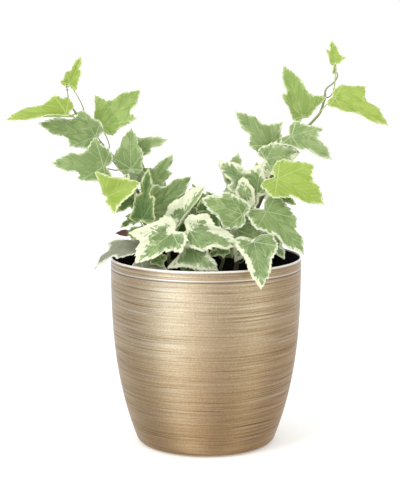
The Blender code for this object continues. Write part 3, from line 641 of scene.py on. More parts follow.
# A leaf: (place along its vine, base, tip, the way its upper face looks, its left lobe, its right
# lobe, heart, arch, left fold, right fold, tone). The lobes are (along, across) in blade lengths.
# Heart is 0 for a straight base and 1 for one with lobes behind the stalk, the arch is in blade
# lengths, and the folds are in degrees. Small leaves share one of three shapes.
NARROW = ((0.35, 0.40), (0.35, 0.40), 0.7, 0.05, 10, 10)
MIDDLING = ((0.35, 0.45), (0.35, 0.45), 0.7, 0.06, 10, 10)
BROAD = ((0.35, 0.50), (0.35, 0.50), 0.7, 0.08, 10, 10)
LEAVES = {
    "a": [
        (3.6, (-68, -22, 63), (-103, -26, 66), (-0.1, -1, 0.2), (0.42, 0.30), (0.20, 0.54),
         0.8, 0.06, 10, 10, "mature"),
        (4.7, (-74, -9, 82), (-112, -12, 91), (-0.1, -1, 0.2), (0.39, 0.28), (0.34, 0.42),
         0.4, 0.05, 15, 20, "mature"),
        (4.4, (-70, 0, 88), (-44, 2, 113), (0.1, -1, 0.2), (0.32, 0.52), (0.58, 0.36),
         0.1, 0.05, 8, 12, "young"),
        (6.9, (-93, -13, 98), (-133, -17, 94), (0.0, -0.8, 0.6), (0.34, 0.28), (0.17, 0.36),
         0.6, 0.06, 50, 0, "lime"),
        (6.4, (-91, -5, 117), (-83, -8, 136), (0.1, -1, 0.2), (0.32, 0.26), (0.56, 0.24),
         0.6, 0.04, 10, 25, "lime"),
    ],
    "b": [
        (2.3, (-38, -14, 31), (-10, -13, 56), (0.1, -1, 0.1), (0.41, 0.34), (0.42, 0.28),
         0.3, 0.04, 8, 10, "mature"),
        (3.0, (-36, -5, 51), (-22, -3, 70), (0.2, -1, 0.1), (0.15, 0.50), (0.55, 0.30),
         0.4, 0.04, 5, 5, "mature"),
        (3.5, (-50, -14, 61), (-50, -10, 88), (-0.2, -1, 0.3), (0.28, 0.46), (0.38, 0.34),
         0.5, 0.05, 15, 15, "cream"),
        (4.7, (-50, -1, 72), (-25, -3, 80), (0.0, -1, 0.3), (0.02, 0.52), (0.45, 0.24),
         0.5, 0.05, 10, 10, "mature"),
        (3.2, (-53, -12, 47), (-53, -13, 60), (-0.1, -1, 0.2), (0.35, 0.40), (0.35, 0.40),
         0.5, 0.04, 10, 10, "cream"),
        (2.6, (-26, 16, 32), (-44, 34, 46), (-0.2, 0.8, 0.6), *BROAD, "mature"),
        (1.4, (-30, 20, 10), (-58, 42, 8), (-0.4, 0.4, 1), (0.35, 0.50), (0.35, 0.50),
         0.7, 0.10, 10, 10, "mature"),
    ],
    "c": [
        (1.7, (-46, -21, 30), (-57, -27, 23), (-0.2, -1, 0.3), (0.45, 0.30), (0.45, 0.30),
         0.7, 0.04, 10, 10, "dark"),
        (2.2, (-42, -31, 29), (-38, -28, 63), (0.0, -1, 0.1), (0.46, 0.20), (0.46, 0.20),
         0.2, 0.03, 20, 20, "dark"),
        (2.8, (-47, -24, 43), (-60, -27, 33), (-0.2, -1, 0.3), (0.35, 0.40), (0.35, 0.40),
         0.7, 0.04, 10, 10, "dark"),
        (3.8, (-65, -28, 44), (-43, -36, 54), (-0.1, -1, 0.2), (0.06, 0.74), (0.08, 0.52),
         0.5, 0.05, 25, 15, "lime"),
        (1.1, (-43, -27, 19), (-60, -31, 20), (-0.1, -1, 0.5), (0.40, 0.25), (0.40, 0.25),
         0.7, 0.05, 10, 10, "dark"),
    ],
    "d": [
        (3.3, (-22, -44, 22), (-46, -50, 3), (-0.1, -1, 0.4), (0.13, 0.51), (0.70, 0.56),
         1.0, 0.06, 15, 20, "cream"),
        (2.8, (-20, -27, 24), (-1, -32, 52), (-0.5, -1, 0.2), (0.33, 0.32), (0.40, 0.22),
         0.3, 0.05, 20, 60, "cream"),
        (2.4, (-45, -24, 9), (-75, -20, -6), (-0.4, -0.3, 1), (0.35, 0.48), (0.60, 0.45),
         0.6, 0.14, 5, 10, "grey"),
        (2.0, (-29, -41, 3), (-44, -37, 7), (-0.1, -0.6, 0.8), (0.35, 0.40), (0.35, 0.40),
         0.7, 0.06, 5, 5, "dark"),
    ],
    "e": [
        (2.4, (-12, -37, 12), (8, -46, -3), (0.0, -0.95, 0.35), (0.42, 0.24), (0.02, 0.76),
         0.4, 0.08, 15, 10, "cream"),
        (2.6, (-11, -40, 23), (22, -46, 14), (0.1, -1, 0.25), (0.27, 0.44), (0.38, 0.32),
         0.6, 0.06, 35, 5, "cream"),
        (4.4, (8, -25, 27), (-6, -26, 34), (0.0, -1, 0.4), *NARROW, "dark"),
        (2.5, (13, -32, 10), (1, -35, 5), (-0.1, -1, 0.5), (0.35, 0.45), (0.35, 0.45),
         0.7, 0.05, 10, 10, "dark"),
    ],
    "f": [
        (3.8, (31, -50, 17), (35, -69, -11), (0.0, -0.8, 0.5), (0.22, 0.42), (0.13, 0.36),
         1.0, 0.16, 5, 5, "cream"),
        (4.1, (40, -27, 34), (64, -42, 7), (0.3, -1, 0.35), (0.44, 0.28), (0.20, 0.42),
         1.0, 0.08, 12, 12, "mature"),
        (3.5, (24, -36, 33), (-3, -40, 44), (0.0, -1, 0.15), (0.30, 0.46), (0.55, 0.36),
         0.5, 0.06, 10, 15, "mature"),
        (3.9, (28, -27, 39), (24, -26, 57), (-0.3, -1, 0.1), (0.55, 0.36), (0.50, 0.36),
         0.3, 0.05, 15, 15, "cream"),
        (4.8, (34, -16, 44), (8, -13, 67), (-0.1, -1, 0.1), (0.52, 0.30), (0.34, 0.50),
         0.6, 0.05, 20, 12, "cream"),
        (3.0, (31, -25, 18), (19, -29, 0), (-0.1, -1, 0.3), (0.25, 0.45), (0.50, 0.62),
         0.7, 0.05, 10, 10, "cream"),
        (2.8, (43, -20, 15), (52, -30, 2), (0.3, -1, 0.4), (0.35, 0.45), (0.35, 0.45),
         0.7, 0.05, 10, 10, "cream"),
        (4.3, (19, -4, 51), (22, -5, 71), (-0.1, -1, 0.1), (0.52, 0.62), (0.42, 0.34),
         0.5, 0.05, 10, 10, "mature"),
    ],
    "g": [
        (3.1, (47, -28, 56), (77, -40, 40), (0.2, -1, 0.4), (0.44, 0.52), (0.22, 0.48),
         1.0, 0.08, 12, 20, "lime"),
        (2.6, (35, -4, 53), (34, -4, 65), (0.0, -1, 0.3), (0.35, 0.40), (0.35, 0.40),
         0.7, 0.05, 25, 25, "lime"),
        (3.5, (40, -11, 67), (63, -13, 72), (0.0, -1, 0.15), (0.38, 0.42), (0.13, 0.48),
         0.9, 0.08, 10, 10, "cream"),
        (3.9, (43, -3, 76), (19, -2, 99), (-0.1, -1, 0.1), (0.31, 0.32), (0.15, 0.52),
         0.5, 0.05, 10, 10, "mature"),
        (4.5, (57, -12, 83), (84, -17, 67), (0.2, -1, 0.25), (0.46, 0.46), (0.34, 0.22),
         0.7, 0.08, 8, 20, "mature"),
        (5.1, (65, -1, 95), (52, 0, 129), (0.15, -1, 0.2), (0.50, 0.32), (0.17, 0.53),
         0.1, 0.05, 25, 8, "young"),
        (5.4, (86, -4, 108), (122, -12, 89), (0.2, -1, 0.5), (0.35, 0.38), (0.30, 0.24),
         0.2, 0.08, 8, 20, "lime"),
        (8.2, (87, 2, 131), (84, 2, 146), (0.0, -1, 0.2), (0.64, 0.34), (0.12, 0.48),
         0.3, 0.03, 10, 10, "lime"),
        (2.7, (50, -6, 42), (61, -10, 36), (0.2, -1, 0.3), *NARROW, "dark"),
        (2.9, (52, 14, 54), (74, 26, 40), (0.3, 0.8, 0.6), *BROAD, "mature"),
        (1.4, (34, 20, 10), (60, 40, 6), (0.4, 0.4, 1), (0.35, 0.50), (0.35, 0.50),
         0.7, 0.10, 10, 10, "mature"),
    ],
    "h": [
        (1.3, (8, 48, 12), (14, 76, -8), (0.1, 0.7, 0.8), (0.30, 0.46), (0.30, 0.46),
         0.7, 0.14, 5, 5, "cream"),
        (1.9, (-6, 40, 22), (-34, 52, 12), (-0.2, 0.8, 0.7), *BROAD, "mature"),
        (2.6, (16, 42, 28), (40, 56, 12), (0.2, 0.8, 0.7), *BROAD, "mature"),
        (2.7, (-2, 36, 30), (-28, 40, 35), (-0.1, 0.9, 0.4), (0.35, 0.50), (0.35, 0.50),
         0.7, 0.06, 10, 10, "young"),
        (3.8, (33, 33, 42), (60, 38, 50), (0.2, 0.9, 0.5), (0.35, 0.50), (0.35, 0.50),
         0.7, 0.06, 10, 10, "cream"),
    ],
}
print("plan:", len(VINES), "vines,", sum(len(rows) for rows in LEAVES.values()), "leaves")

# %% [markdown]
# ## Vines
#
# An ivy stem is round, woody and purple-brown at its foot and soft and green at its tip. It has a
# slight swelling wherever a leaf grows out. A curve with a round bevel makes a stem of any
# thickness along any line, so that is how the vines and the leaf stalks are made: the curve's own
# points carry the radius. It is turned into a mesh at the end, and each point remembers how far up
# the stem it is, for the colour.

# %% Where the plan's points are
VINE_FOOT_RADIUS = 1.4 * MM
VINE_TIP_RADIUS = 0.6 * MM
STALK_RADIUS = 0.42 * MM
SOIL_SINK = 2.0 * MM       # how deep a vine's foot goes into the soil


def plant_place(x, y, z):
    """A place of the plan in metres above the ground."""
    return Vector((x * MM, y * MM, POT_HEIGHT + z * MM))


def vine_points(letter):
    (foot_x, foot_y), *climb = VINES[letter]
    foot = plant_place(foot_x, foot_y, 0.0)
    foot.z = soil_top - SOIL_SINK
    return [foot] + [plant_place(*place) for place in climb]


def between(here, there, leave, arrive, share):
    """The smooth curve from here to there that leaves and arrives with the given pulls."""
    square, cube = share ** 2, share ** 3
    return (here * (2 * cube - 3 * square + 1) + leave * (cube - 2 * square + share)
            + there * (3 * square - 2 * cube) + arrive * (cube - square))


def smooth_point(points, along):
    """A point of the smooth curve through the points; whole numbers are the points themselves."""
    start = min(int(along), len(points) - 2)
    here, there = points[start], points[start + 1]
    leave = (there - points[max(start - 1, 0)]) * 0.5
    arrive = (points[min(start + 2, len(points) - 1)] - here) * 0.5
    return between(here, there, leave, arrive, along - start)


def run_along(line):
    """How far along the line each of its points is."""
    return np.concatenate([[0.0], np.cumsum(np.linalg.norm(np.diff(line, axis=0), axis=1))])


def vine_radius(points, along):
    share = along / (len(points) - 1)
    return VINE_FOOT_RADIUS + (VINE_TIP_RADIUS - VINE_FOOT_RADIUS) * share


# %% Stems from bevelled curves
def store(mesh, name, values):
    """Writes one number for each of a mesh's points, for a material to read."""
    layer = mesh.attributes.new(name, "FLOAT", "POINT")
    layer.data.foreach_set("value", np.asarray(values, np.float32))


def stem(name, path, radii, smoothness):
    """A round stem through the path as a mesh, with a "share" attribute from 0 at its start to 1."""
    data = bpy.data.curves.new(name, "CURVE")
    data.dimensions = "3D"
    data.bevel_depth = 1.0
    data.bevel_resolution = smoothness
    data.use_fill_caps = True
    line = data.splines.new("POLY")
    line.points.add(len(path) - 1)
    for point, place, radius in zip(line.points, path, radii):
        point.co = (*place, 1.0)
        point.radius = radius
    make_active(new_piece(name, data))
    bpy.ops.object.convert(target="MESH")
    piece = bpy.context.object
    bpy.ops.object.shade_smooth()
    places = np.array([vertex.co for vertex in piece.data.vertices])
    apart = np.linalg.norm(places[:, None, :] - np.array(path)[None, :, :], axis=2)
    store(piece.data, "share", apart.argmin(axis=1) / (len(path) - 1.0))
    return piece


VINE_STEP = 1.4 * MM       # spacing of a vine's rings
NODE_SWELL = 0.45          # how much thicker a vine is where a leaf leaves it
NODE_LENGTH = 1.6 * MM
BARK_ROUGH = 0.08          # how uneven a vine's thickness is
SLIM_FROM = 0.6            # share of a vine from which it thins
SLIM_BY = 0.35


def vine_line(letter):
    """The vine's smooth middle line, evenly spaced, and its place numbers along the plan."""
    points = vine_points(letter)
    fine = np.linspace(0.0, len(points) - 1.0, 60 * len(points))
    line = np.array([tuple(smooth_point(points, along)) for along in fine])
    run = run_along(line)
    even = np.linspace(0.0, run[-1], max(12, int(run[-1] / VINE_STEP)))
    line = np.stack([np.interp(even, run, line[:, axis]) for axis in range(3)], axis=1)
    return line, np.interp(even, run, fine)


def make_vine(letter):
    points = vine_points(letter)
    line, along = vine_line(letter)
    nodes = [smooth_point(points, row[0]) for row in LEAVES[letter]]
    radii = []
    for index, place in enumerate(line):
        nearest = min((Vector(place) - node).length for node in nodes)
        swell = 1.0 + NODE_SWELL * math.exp(-(nearest / NODE_LENGTH) ** 2)
        rough = 1.0 + BARK_ROUGH * noise.noise(Vector((index * 0.9, ord(letter), 0.0)))
        late = max(0.0, along[index] / (len(points) - 1) - SLIM_FROM) / (1.0 - SLIM_FROM)
        slim = 1.0 - SLIM_BY * late
        radii.append(vine_radius(points, along[index]) * swell * rough * slim)
    for index in range(1, 4):     # the last rings close in to a blunt tip
        radii[-index] *= 0.25 + 0.22 * index
    return stem("ivy_vine_" + letter, [Vector(place) for place in line], radii, 3)


vines = {letter: make_vine(letter) for letter in VINES}
print("vines:", {letter: len(piece.data.polygons) for letter, piece in vines.items()})


# %% Bark that turns green towards the tip
def ivy_bark():
    """Young ivy bark: purple-brown at the foot, olive and lime at the tip, finely ridged all along.
    """
    material, shader = new_material("young_ivy_bark", roughness=0.62)
    add = partial(add_node, material)
    age = add("Attribute", attribute_name="share")
    ramp = add("ValToRGB", {"Fac": age.outputs["Fac"]})
    stops = ramp.color_ramp.elements
    stops[0].color = colour("#4C3A34")
    stops[1].color = colour("#B5C48A")
    for spot, code in ((0.35, "#6A5846"), (0.60, "#85855C"), (0.80, "#A5B277")):
        stops.new(spot).color = colour(code)
    place = add("TexCoord").outputs["Object"]
    grain = add("Mapping", {"Vector": place, "Scale": (1.0, 1.0, 0.25)})
    ridges = add("TexNoise", {"Vector": grain, "Scale": 1400.0, "Detail": 3.0})
    shade = add("Mix", {"Factor": 0.55, "A": ramp, "B": ridges.outputs["Color"]},
                blend_type="MULTIPLY")
    plug_in(material, shader, "Base Color", shade)
    bump = add("Bump", {"Height": ridges, "Strength": 0.5, "Distance": 0.15 * MM})
    plug_in(material, shader, "Normal", bump)
    return material


bark = ivy_bark()
for letter, piece in vines.items():
    piece.data.materials.append(bark)
print("bark on", len(vines), "vines")

# %% [markdown]
# ## Leaves
#
# An ivy leaf is a thin blade with a pointed middle lobe, two side lobes and a heart-shaped base
# where the stalk joins. All its main veins start there and run out to the lobes' tips. So the
# blade starts from a disc whose rings are inset into each other: the disc's middle becomes the
# stalk's end, its spokes become the lines of the veins, and its edge becomes the leaf's outline.
# One disc is made. Each leaf is a copy whose points are moved to that leaf's own outline,
# arched and folded as the plan says, and given its thickness by Solidify.

# %% One disc for all the leaves
RAYS = 160                 # spokes of the disc; a quarter of them reaches from the tip to a lobe
RINGS = 15


def make_blank():
    """The disc with its rings; returns its mesh, each point's spoke and its share of the radius."""
    blank = ringed_disc(RAYS, 1.0, 0.0, RINGS - 1, 1.0 / RINGS)
    places = np.array([vertex.co for vertex in blank.data.vertices])
    radius = np.linalg.norm(places[:, :2], axis=1)
    turn = np.arctan2(places[:, 1], places[:, 0]) % (2.0 * math.pi)
    spoke = np.rint(turn * RAYS / (2.0 * math.pi)).astype(int) % RAYS
    mesh = blank.data
    bpy.data.objects.remove(blank, do_unlink=True)
    return mesh, spoke, np.clip(radius, 0.0, 1.0)


blank_mesh, spokes, reach = make_blank()
print("leaf disc:", len(blank_mesh.vertices), "points,", len(blank_mesh.polygons), "faces")


# %% A leaf's outline
TIP_ROUND = 0.15           # 0 is a sharp corner and 1 a smooth bend
BAY_FILL = 0.77            # how far out the bays between the lobes reach; 1 is straight across
TOOTH_LENGTH = 3.7 * MM    # real ivy leaves of this kind have small forward teeth
TOOTH_DEPTH = 2.1 * MM
TOOTHED_LENGTH = 32.0 * MM   # a blade this long or longer has teeth of the full depth
STRETCH_POINTS = 40        # points of the outline between two of its controls
LOBE_CONTROL = 3           # which control is the side lobe's tip, and which the basal lobe's
BASAL_CONTROL = 5
USUAL_SHAPE = (BAY_FILL, 0.0)
SHAPES = {
    # leaves that differ from the rest: (how full the bays are, how round the side lobes are)
    "b3": (0.96, 0.6), "b1": (0.84, 0.2), "c4": (0.97, 0.7), "f1": (1.00, 1.0), "f3": (0.94, 0.5),
    "f4": (1.02, 1.0), "f2": (0.90, 0.3), "g1": (0.88, 0.6), "g3": (1.00, 0.9), "d2": (1.00, 0.9),
    "e2": (0.90, 0.6), "e1": (0.96, 0.8), "d1": (0.80, 0.3),
}


def half_controls(lobe, heart, fill, lobe_round):
    """Points from the tip back to the notch, as (along, across) in blade lengths, with how round
    the outline is at each."""
    tip, lobe_tip = np.array([1.0, 0.0]), np.array(lobe)
    basal = np.array([0.05, 0.24]) * (1 - heart) + np.array([-0.14, 0.36]) * heart
    behind = np.array([-0.04, 0.11]) * (1 - heart) + np.array([-0.20, 0.16]) * heart
    notch = np.array([-0.03 - 0.04 * heart, 0.0])
    upper_bay = (tip * 0.38 + lobe_tip * 0.62) * fill
    shoulder = tip * 0.45 + upper_bay * 0.55 + np.array([0.0, 0.06])
    lower_bay = (lobe_tip * 0.40 + basal * 0.60) * (0.55 + 0.48 * fill)
    return (np.array([tip, shoulder, upper_bay, lobe_tip, lower_bay, basal, behind, notch]),
            [TIP_ROUND, 1.0, 1.0, 0.3 + 0.7 * lobe_round, 1.0, 1.0, 1.0, 0.1])


def smooth_run(controls, roundness):
    """The smooth line through the controls."""
    line = []
    last = len(controls) - 1
    share = np.linspace(0.0, 1.0, STRETCH_POINTS, endpoint=False)[:, None]
    for start in range(last):
        here, there = controls[start], controls[start + 1]
        chord = there - here
        through_here = (there - controls[max(start - 1, 0)]) * 0.5
        through_there = (controls[min(start + 2, last)] - here) * 0.5
        leave = through_here * roundness[start] + chord * (1 - roundness[start])
        arrive = through_there * roundness[start + 1] + chord * (1 - roundness[start + 1])
        line.append(between(here, there, leave, arrive, share))
    return np.concatenate(line + [controls[-1:]])


def evenly(line, count):
    """The line again, with this many equal steps."""
    run = run_along(line)
    even = np.linspace(0.0, run[-1], count + 1)
    return np.stack([np.interp(even, run, line[:, axis]) for axis in range(2)], axis=1)


def half_outline(lobe, heart, shape):
    """One half of the edge from tip to notch, a point for each spoke, and the vein ends' spokes."""
    controls, roundness = half_controls(lobe, heart, *shape)
    line = smooth_run(controls, roundness)
    quarter = RAYS // 4
    lobe_tip = LOBE_CONTROL * STRETCH_POINTS
    half = np.concatenate([evenly(line[:lobe_tip + 1], quarter)[:-1],
                           evenly(line[lobe_tip:], quarter)])
    to_basal = half[quarter:] - controls[BASAL_CONTROL]
    basal = quarter + int(np.argmin(np.linalg.norm(to_basal, axis=1)))
    return half, [0, quarter, basal]


def toothed(half, length, seed):
    """One half of the edge with small teeth that point towards the tip."""
    run = run_along(half * length)
    phase = run / TOOTH_LENGTH + 0.8 * np.array([noise.noise(Vector((place / (5 * MM), seed, 0.0)))
                                                 for place in run])
    tooth = np.floor(phase)
    rise = 1.0 - (phase - tooth)
    size = np.array([0.35 + abs(noise.noise(Vector((count * 1.7, seed * 3.1, 2.0)))) * 1.9
                     for count in tooth])
    from_stalk = np.linalg.norm(half, axis=1)
    calm = np.clip((from_stalk - 0.15) / 0.25, 0.0, 1.0) * np.clip(run / (2.0 * MM), 0.0, 1.0)
    depth = TOOTH_DEPTH * min(1.0, length / TOOTHED_LENGTH) ** 1.5
    outward = (rise - 0.45) * size * calm * depth / length
    return half * (1.0 + outward / np.maximum(from_stalk, 0.2))[:, None]


def leaf_outline(left, right, heart, length, shape, seed):
    """The whole edge, (along, across) in blade lengths for each spoke, and the main veins' spokes."""
    left_half, left_veins = half_outline(left, heart, shape)
    right_half, right_veins = half_outline(right, heart, shape)
    left_half = toothed(left_half, length, seed)
    right_half = toothed(right_half, length, seed + 31.0) * np.array([1.0, -1.0])
    edge = np.concatenate([left_half, right_half[1:-1][::-1]])
    return edge, left_veins + [RAYS - spoke for spoke in right_veins[1:]]


test_edge, test_veins = leaf_outline((0.4, 0.45), (0.4, 0.45), 0.7, 30.0 * MM, USUAL_SHAPE, 1.0)
print("outline:", len(test_edge), "points, widest", round(float(np.ptp(test_edge[:, 1])), 2),
      "of the length; vein ends at spokes", test_veins)


# %% The bent blade
BLADE_THICKNESS = 0.40 * MM
GROOVE = 0.20 * MM         # how deep a main vein lies in the upper face
GROOVE_WIDTH = 0.55 * MM
PUFF = 0.35 * MM           # how far the blade rises between its veins
PUFF_WIDTH = 2.6 * MM
RIPPLE = 0.014             # waves of the edge, share of the blade's length
RIPPLE_WAVES = (9.0, 17.0)
FOLD_WIDTH = 0.25          # a fold is complete this far from the middle, in blade lengths
STALK_PULL = 0.35          # how far a stalk keeps its direction at both ends, share of its reach
STALK_STEP = 1.5 * MM


class Blade:
    """A leaf's own frame and its bent surface."""

    def __init__(self, base, tip, face, arch, fold_left, fold_right):
        self.base = np.array(base)
        self.length = (tip - base).length
        forward = (tip - base).normalized()
        up = (face - forward * face.dot(forward)).normalized()
        self.forward, self.up = np.array(forward), np.array(up)
        self.side = np.array(up.cross(forward))
        self.arch = arch
        self.folds = (math.radians(fold_left), math.radians(fold_right))

    def surface(self, along, across, lift):
        """Places in metres; along and across in blade lengths, lift in metres. Arrays or numbers."""
        fold = np.where(across > 0.0, self.folds[0], self.folds[1])
        far = np.clip(np.abs(across) / FOLD_WIDTH, 0.0, 1.0)
        bend = fold * far * far * (3.0 - 2.0 * far)
        rise = 4.0 * self.arch * along * (1.0 - along) + np.abs(across) * np.sin(bend)
        flat = (np.multiply.outer(along, self.forward)
                + np.multiply.outer(across * np.cos(bend), self.side)
                + np.multiply.outer(rise, self.up))
        return self.base + flat * self.length + np.multiply.outer(lift, self.up)


def stalk_line(letter, place, blade):
    """From inside the vine out to just under the blade, leaving the vine squarely."""
    vine = vine_points(letter)
    start = smooth_point(vine, place)
    heading = (smooth_point(vine, place + 0.05) - smooth_point(vine, place - 0.05)).normalized()
    base = Vector(blade.base)
    outward = base - start
    outward = (outward - heading * outward.dot(heading)).normalized()
    root = start + outward * vine_radius(vine, place)
    up, forward = Vector(blade.up), Vector(blade.forward)
    end = base - up * (BLADE_THICKNESS * 0.5 + STALK_RADIUS * 0.8)
    pull = (end - root).length * STALK_PULL
    leave = root + outward * pull
    arrive = end - (forward * 0.35 + up * 0.95).normalized() * pull
    path = [start]
    steps = max(8, round((end - root).length / STALK_STEP))
    for step in range(steps + 1):
        share = step / steps
        rest = 1.0 - share
        path.append(root * rest ** 3 + leave * 3 * rest ** 2 * share
                    + arrive * 3 * rest * share ** 2 + end * share ** 3)
    return path + [base + forward * blade.length * 0.03]


def stalk_radii(count):
    """Thicker where it leaves the vine, thin between, and a little thicker under the blade."""
    share = np.linspace(0.0, 1.0, count)
    return STALK_RADIUS * (1.0 + 0.9 * np.exp(-(share / 0.05) ** 2)
                           + 0.25 * np.exp(-((1.0 - share) / 0.06) ** 2))


CREAM_SHARES = {
    # how wide the cream is on the left and the right half of a leaf, where it isn't the usual
    "b3": (0.25, 0.25), "d1": (0.6, 1.9), "d2": (2.6, 0.4), "e1": (0.7, 1.0), "e2": (1.9, 0.6),
    "f1": (0.3, 0.9), "f4": (1.0, 1.3), "f5": (0.5, 0.9), "f6": (0.9, 0.9), "g3": (0.4, 1.1),
    "f3": (1.2, 1.8), "f2": (0.9, 2.4), "c4": (1.2, 2.2), "g1": (1.6, 1.6), "h1": (0.7, 0.8),
    "h5": (0.7, 0.7), "b5": (0.6, 0.6), "f7": (0.8, 0.8),
}


def move_to_blade(mesh, blade, edge, veins, seed, cream):
    """Moves a copy of the disc to the blade's surface and stores what the finish needs."""
    size = blade.length
    flat = edge[spokes] * reach[:, None]
    vein_apart = np.linalg.norm(edge[:, None, :] - edge[None, veins, :], axis=2).min(axis=1)
    vein_gap = vein_apart[spokes] * reach * size
    along_gap = np.linalg.norm(edge, axis=1)[spokes] * reach * size
    edge_gap = np.linalg.norm(flat[:, None, :] - edge[None, :, :], axis=2).min(axis=1) * size
    lift = -GROOVE * np.exp(-(vein_gap / GROOVE_WIDTH) ** 2)
    puff = 1.0 - np.exp(-(vein_gap / PUFF_WIDTH) ** 2)
    lift += PUFF * puff * np.clip(edge_gap / PUFF_WIDTH, 0.0, 1.0)
    few, many = (spokes * 2.0 * math.pi * waves / RAYS for waves in RIPPLE_WAVES)
    wave = np.sin(few + seed) + 0.6 * np.sin(many + seed * 2.3)
    lift += RIPPLE * size * wave * reach ** 4
    places = blade.surface(flat[:, 0], flat[:, 1], lift)
    mesh.vertices.foreach_set("co", places.astype(np.float32).ravel())
    for kind, gap in (("vein_mm", vein_gap), ("along_mm", along_gap), ("edge_mm", edge_gap)):
        store(mesh, kind, gap / MM)
    store(mesh, "seed", np.full(len(flat), seed))
    store(mesh, "cream", np.where(flat[:, 1] > 0.0, cream[0], cream[1]))
    mesh.update()


def make_leaf(name, letter, row, finish_name):
    """A blade and its stalk as one piece; name ends in the vine's letter and the leaf's number."""
    place, base, tip, face, left, right, heart, arch, fold_left, fold_right, tone = row
    blade = Blade(plant_place(*base), plant_place(*tip), Vector(face), arch, fold_left, fold_right)
    own = name.rsplit("_", 1)[-1]
    seed = (sum(ord(sign) for sign in name) * 7) % 29 + 0.5
    shape = SHAPES.get(own, USUAL_SHAPE)
    edge, veins = leaf_outline(left, right, heart, blade.length, shape, seed)
    piece = new_piece(name, blank_mesh.copy())
    piece.data.name = name
    move_to_blade(piece.data, blade, edge, veins, seed, CREAM_SHARES.get(own, (1.0, 1.0)))
    for finish in leaf_finishes[finish_name]:
        piece.data.materials.append(finish)
    make_active(piece)
    bpy.ops.object.shade_smooth()
    skin = piece.modifiers.new("thickness", "SOLIDIFY")
    skin.thickness = BLADE_THICKNESS
    skin.offset = 0.0
    skin.material_offset = 1
    bpy.ops.object.modifier_apply(modifier="thickness")
    path = stalk_line(letter, place, blade)
    stalk = stem(name + "_stalk", path, stalk_radii(len(path)), 2)
    stalk.data.materials.append(leaf_finishes[finish_name][2])
    make_active(piece)
    stalk.select_set(True)
    bpy.ops.object.join()
    return piece


# %% [markdown]
# ## The variegated leaf
#
# A variegated leaf is a green one whose edge has cells with no green in them, so it is cream
# there. The border between the two follows the small fields between the veins, so it is ragged
# with straight bits, and single fields are darker or greyer than the rest. The main veins are
# pale. Under its skin the blade has a net of fine veins about a millimetre wide, which shows as
# soft bumps. The upper side is satin; the underside is paler, duller and never glossy.
#
# Each point of the blade knows how far it is from the edge, from the nearest main vein and from
# the stalk, in millimetres. The finish is drawn with those distances, so it follows each leaf's
# own shape. Two cell patterns stand for the fields between the veins: the finer one moves the
# border of the cream edge, and the coarser one picks the darker fields.

# %% Leaf colours and sizes
LEAF_TONES = {
    # upper green, darker fields, cream edge, veins, width of the cream edge in millimetres
    "mature": ("#A6BB7C", "#839C5C", "#EBF1D2", "#CDDCB0", 0.62),
    "young": ("#ABC26F", "#90AB55", "#E6EFC4", "#CBDDA0", 0.56),
    "lime": ("#AFC55E", "#9CB54A", "#E9F1BC", "#CFDE98", 0.46),
    "cream": ("#9FB375", "#78925A", "#F2F5D6", "#D3E0B6", 2.5),
    # dark, and withered that shares it: the deeper green of older leaves, and darker over all, cream
    # edge too, as painted shade for leaves low down and under the others
    "dark": ("#6F8C48", "#5A773C", "#D4DEA8", "#A0B67C", 0.8),
    "grey": ("#A2A58B", "#888B72", "#E8EAD4", "#C4C7AE", 1.1),
}
LEAF_TONES["withered"] = LEAF_TONES["dark"]
DRY_FROM = {"withered": 8.0}   # millimetres from the stalk at which a dying tip turns brown
FIELD_SIZE = 2.1           # millimetres across one field between side veins
SIDE_VEIN_GAP = 4.4        # millimetres between side veins
NET_SIZE = 1.2             # millimetres across one mesh of the fine net
GLOW = 0.16                # share of the light that comes through a blade
WOBBLE_SCALE = 700.0       # noise per metre: it bends the fields' borders
JAG_SCALE = 1100.0         # it frays the cream edge
CLOUD_SCALE = 160.0        # it shades whole parts of a blade


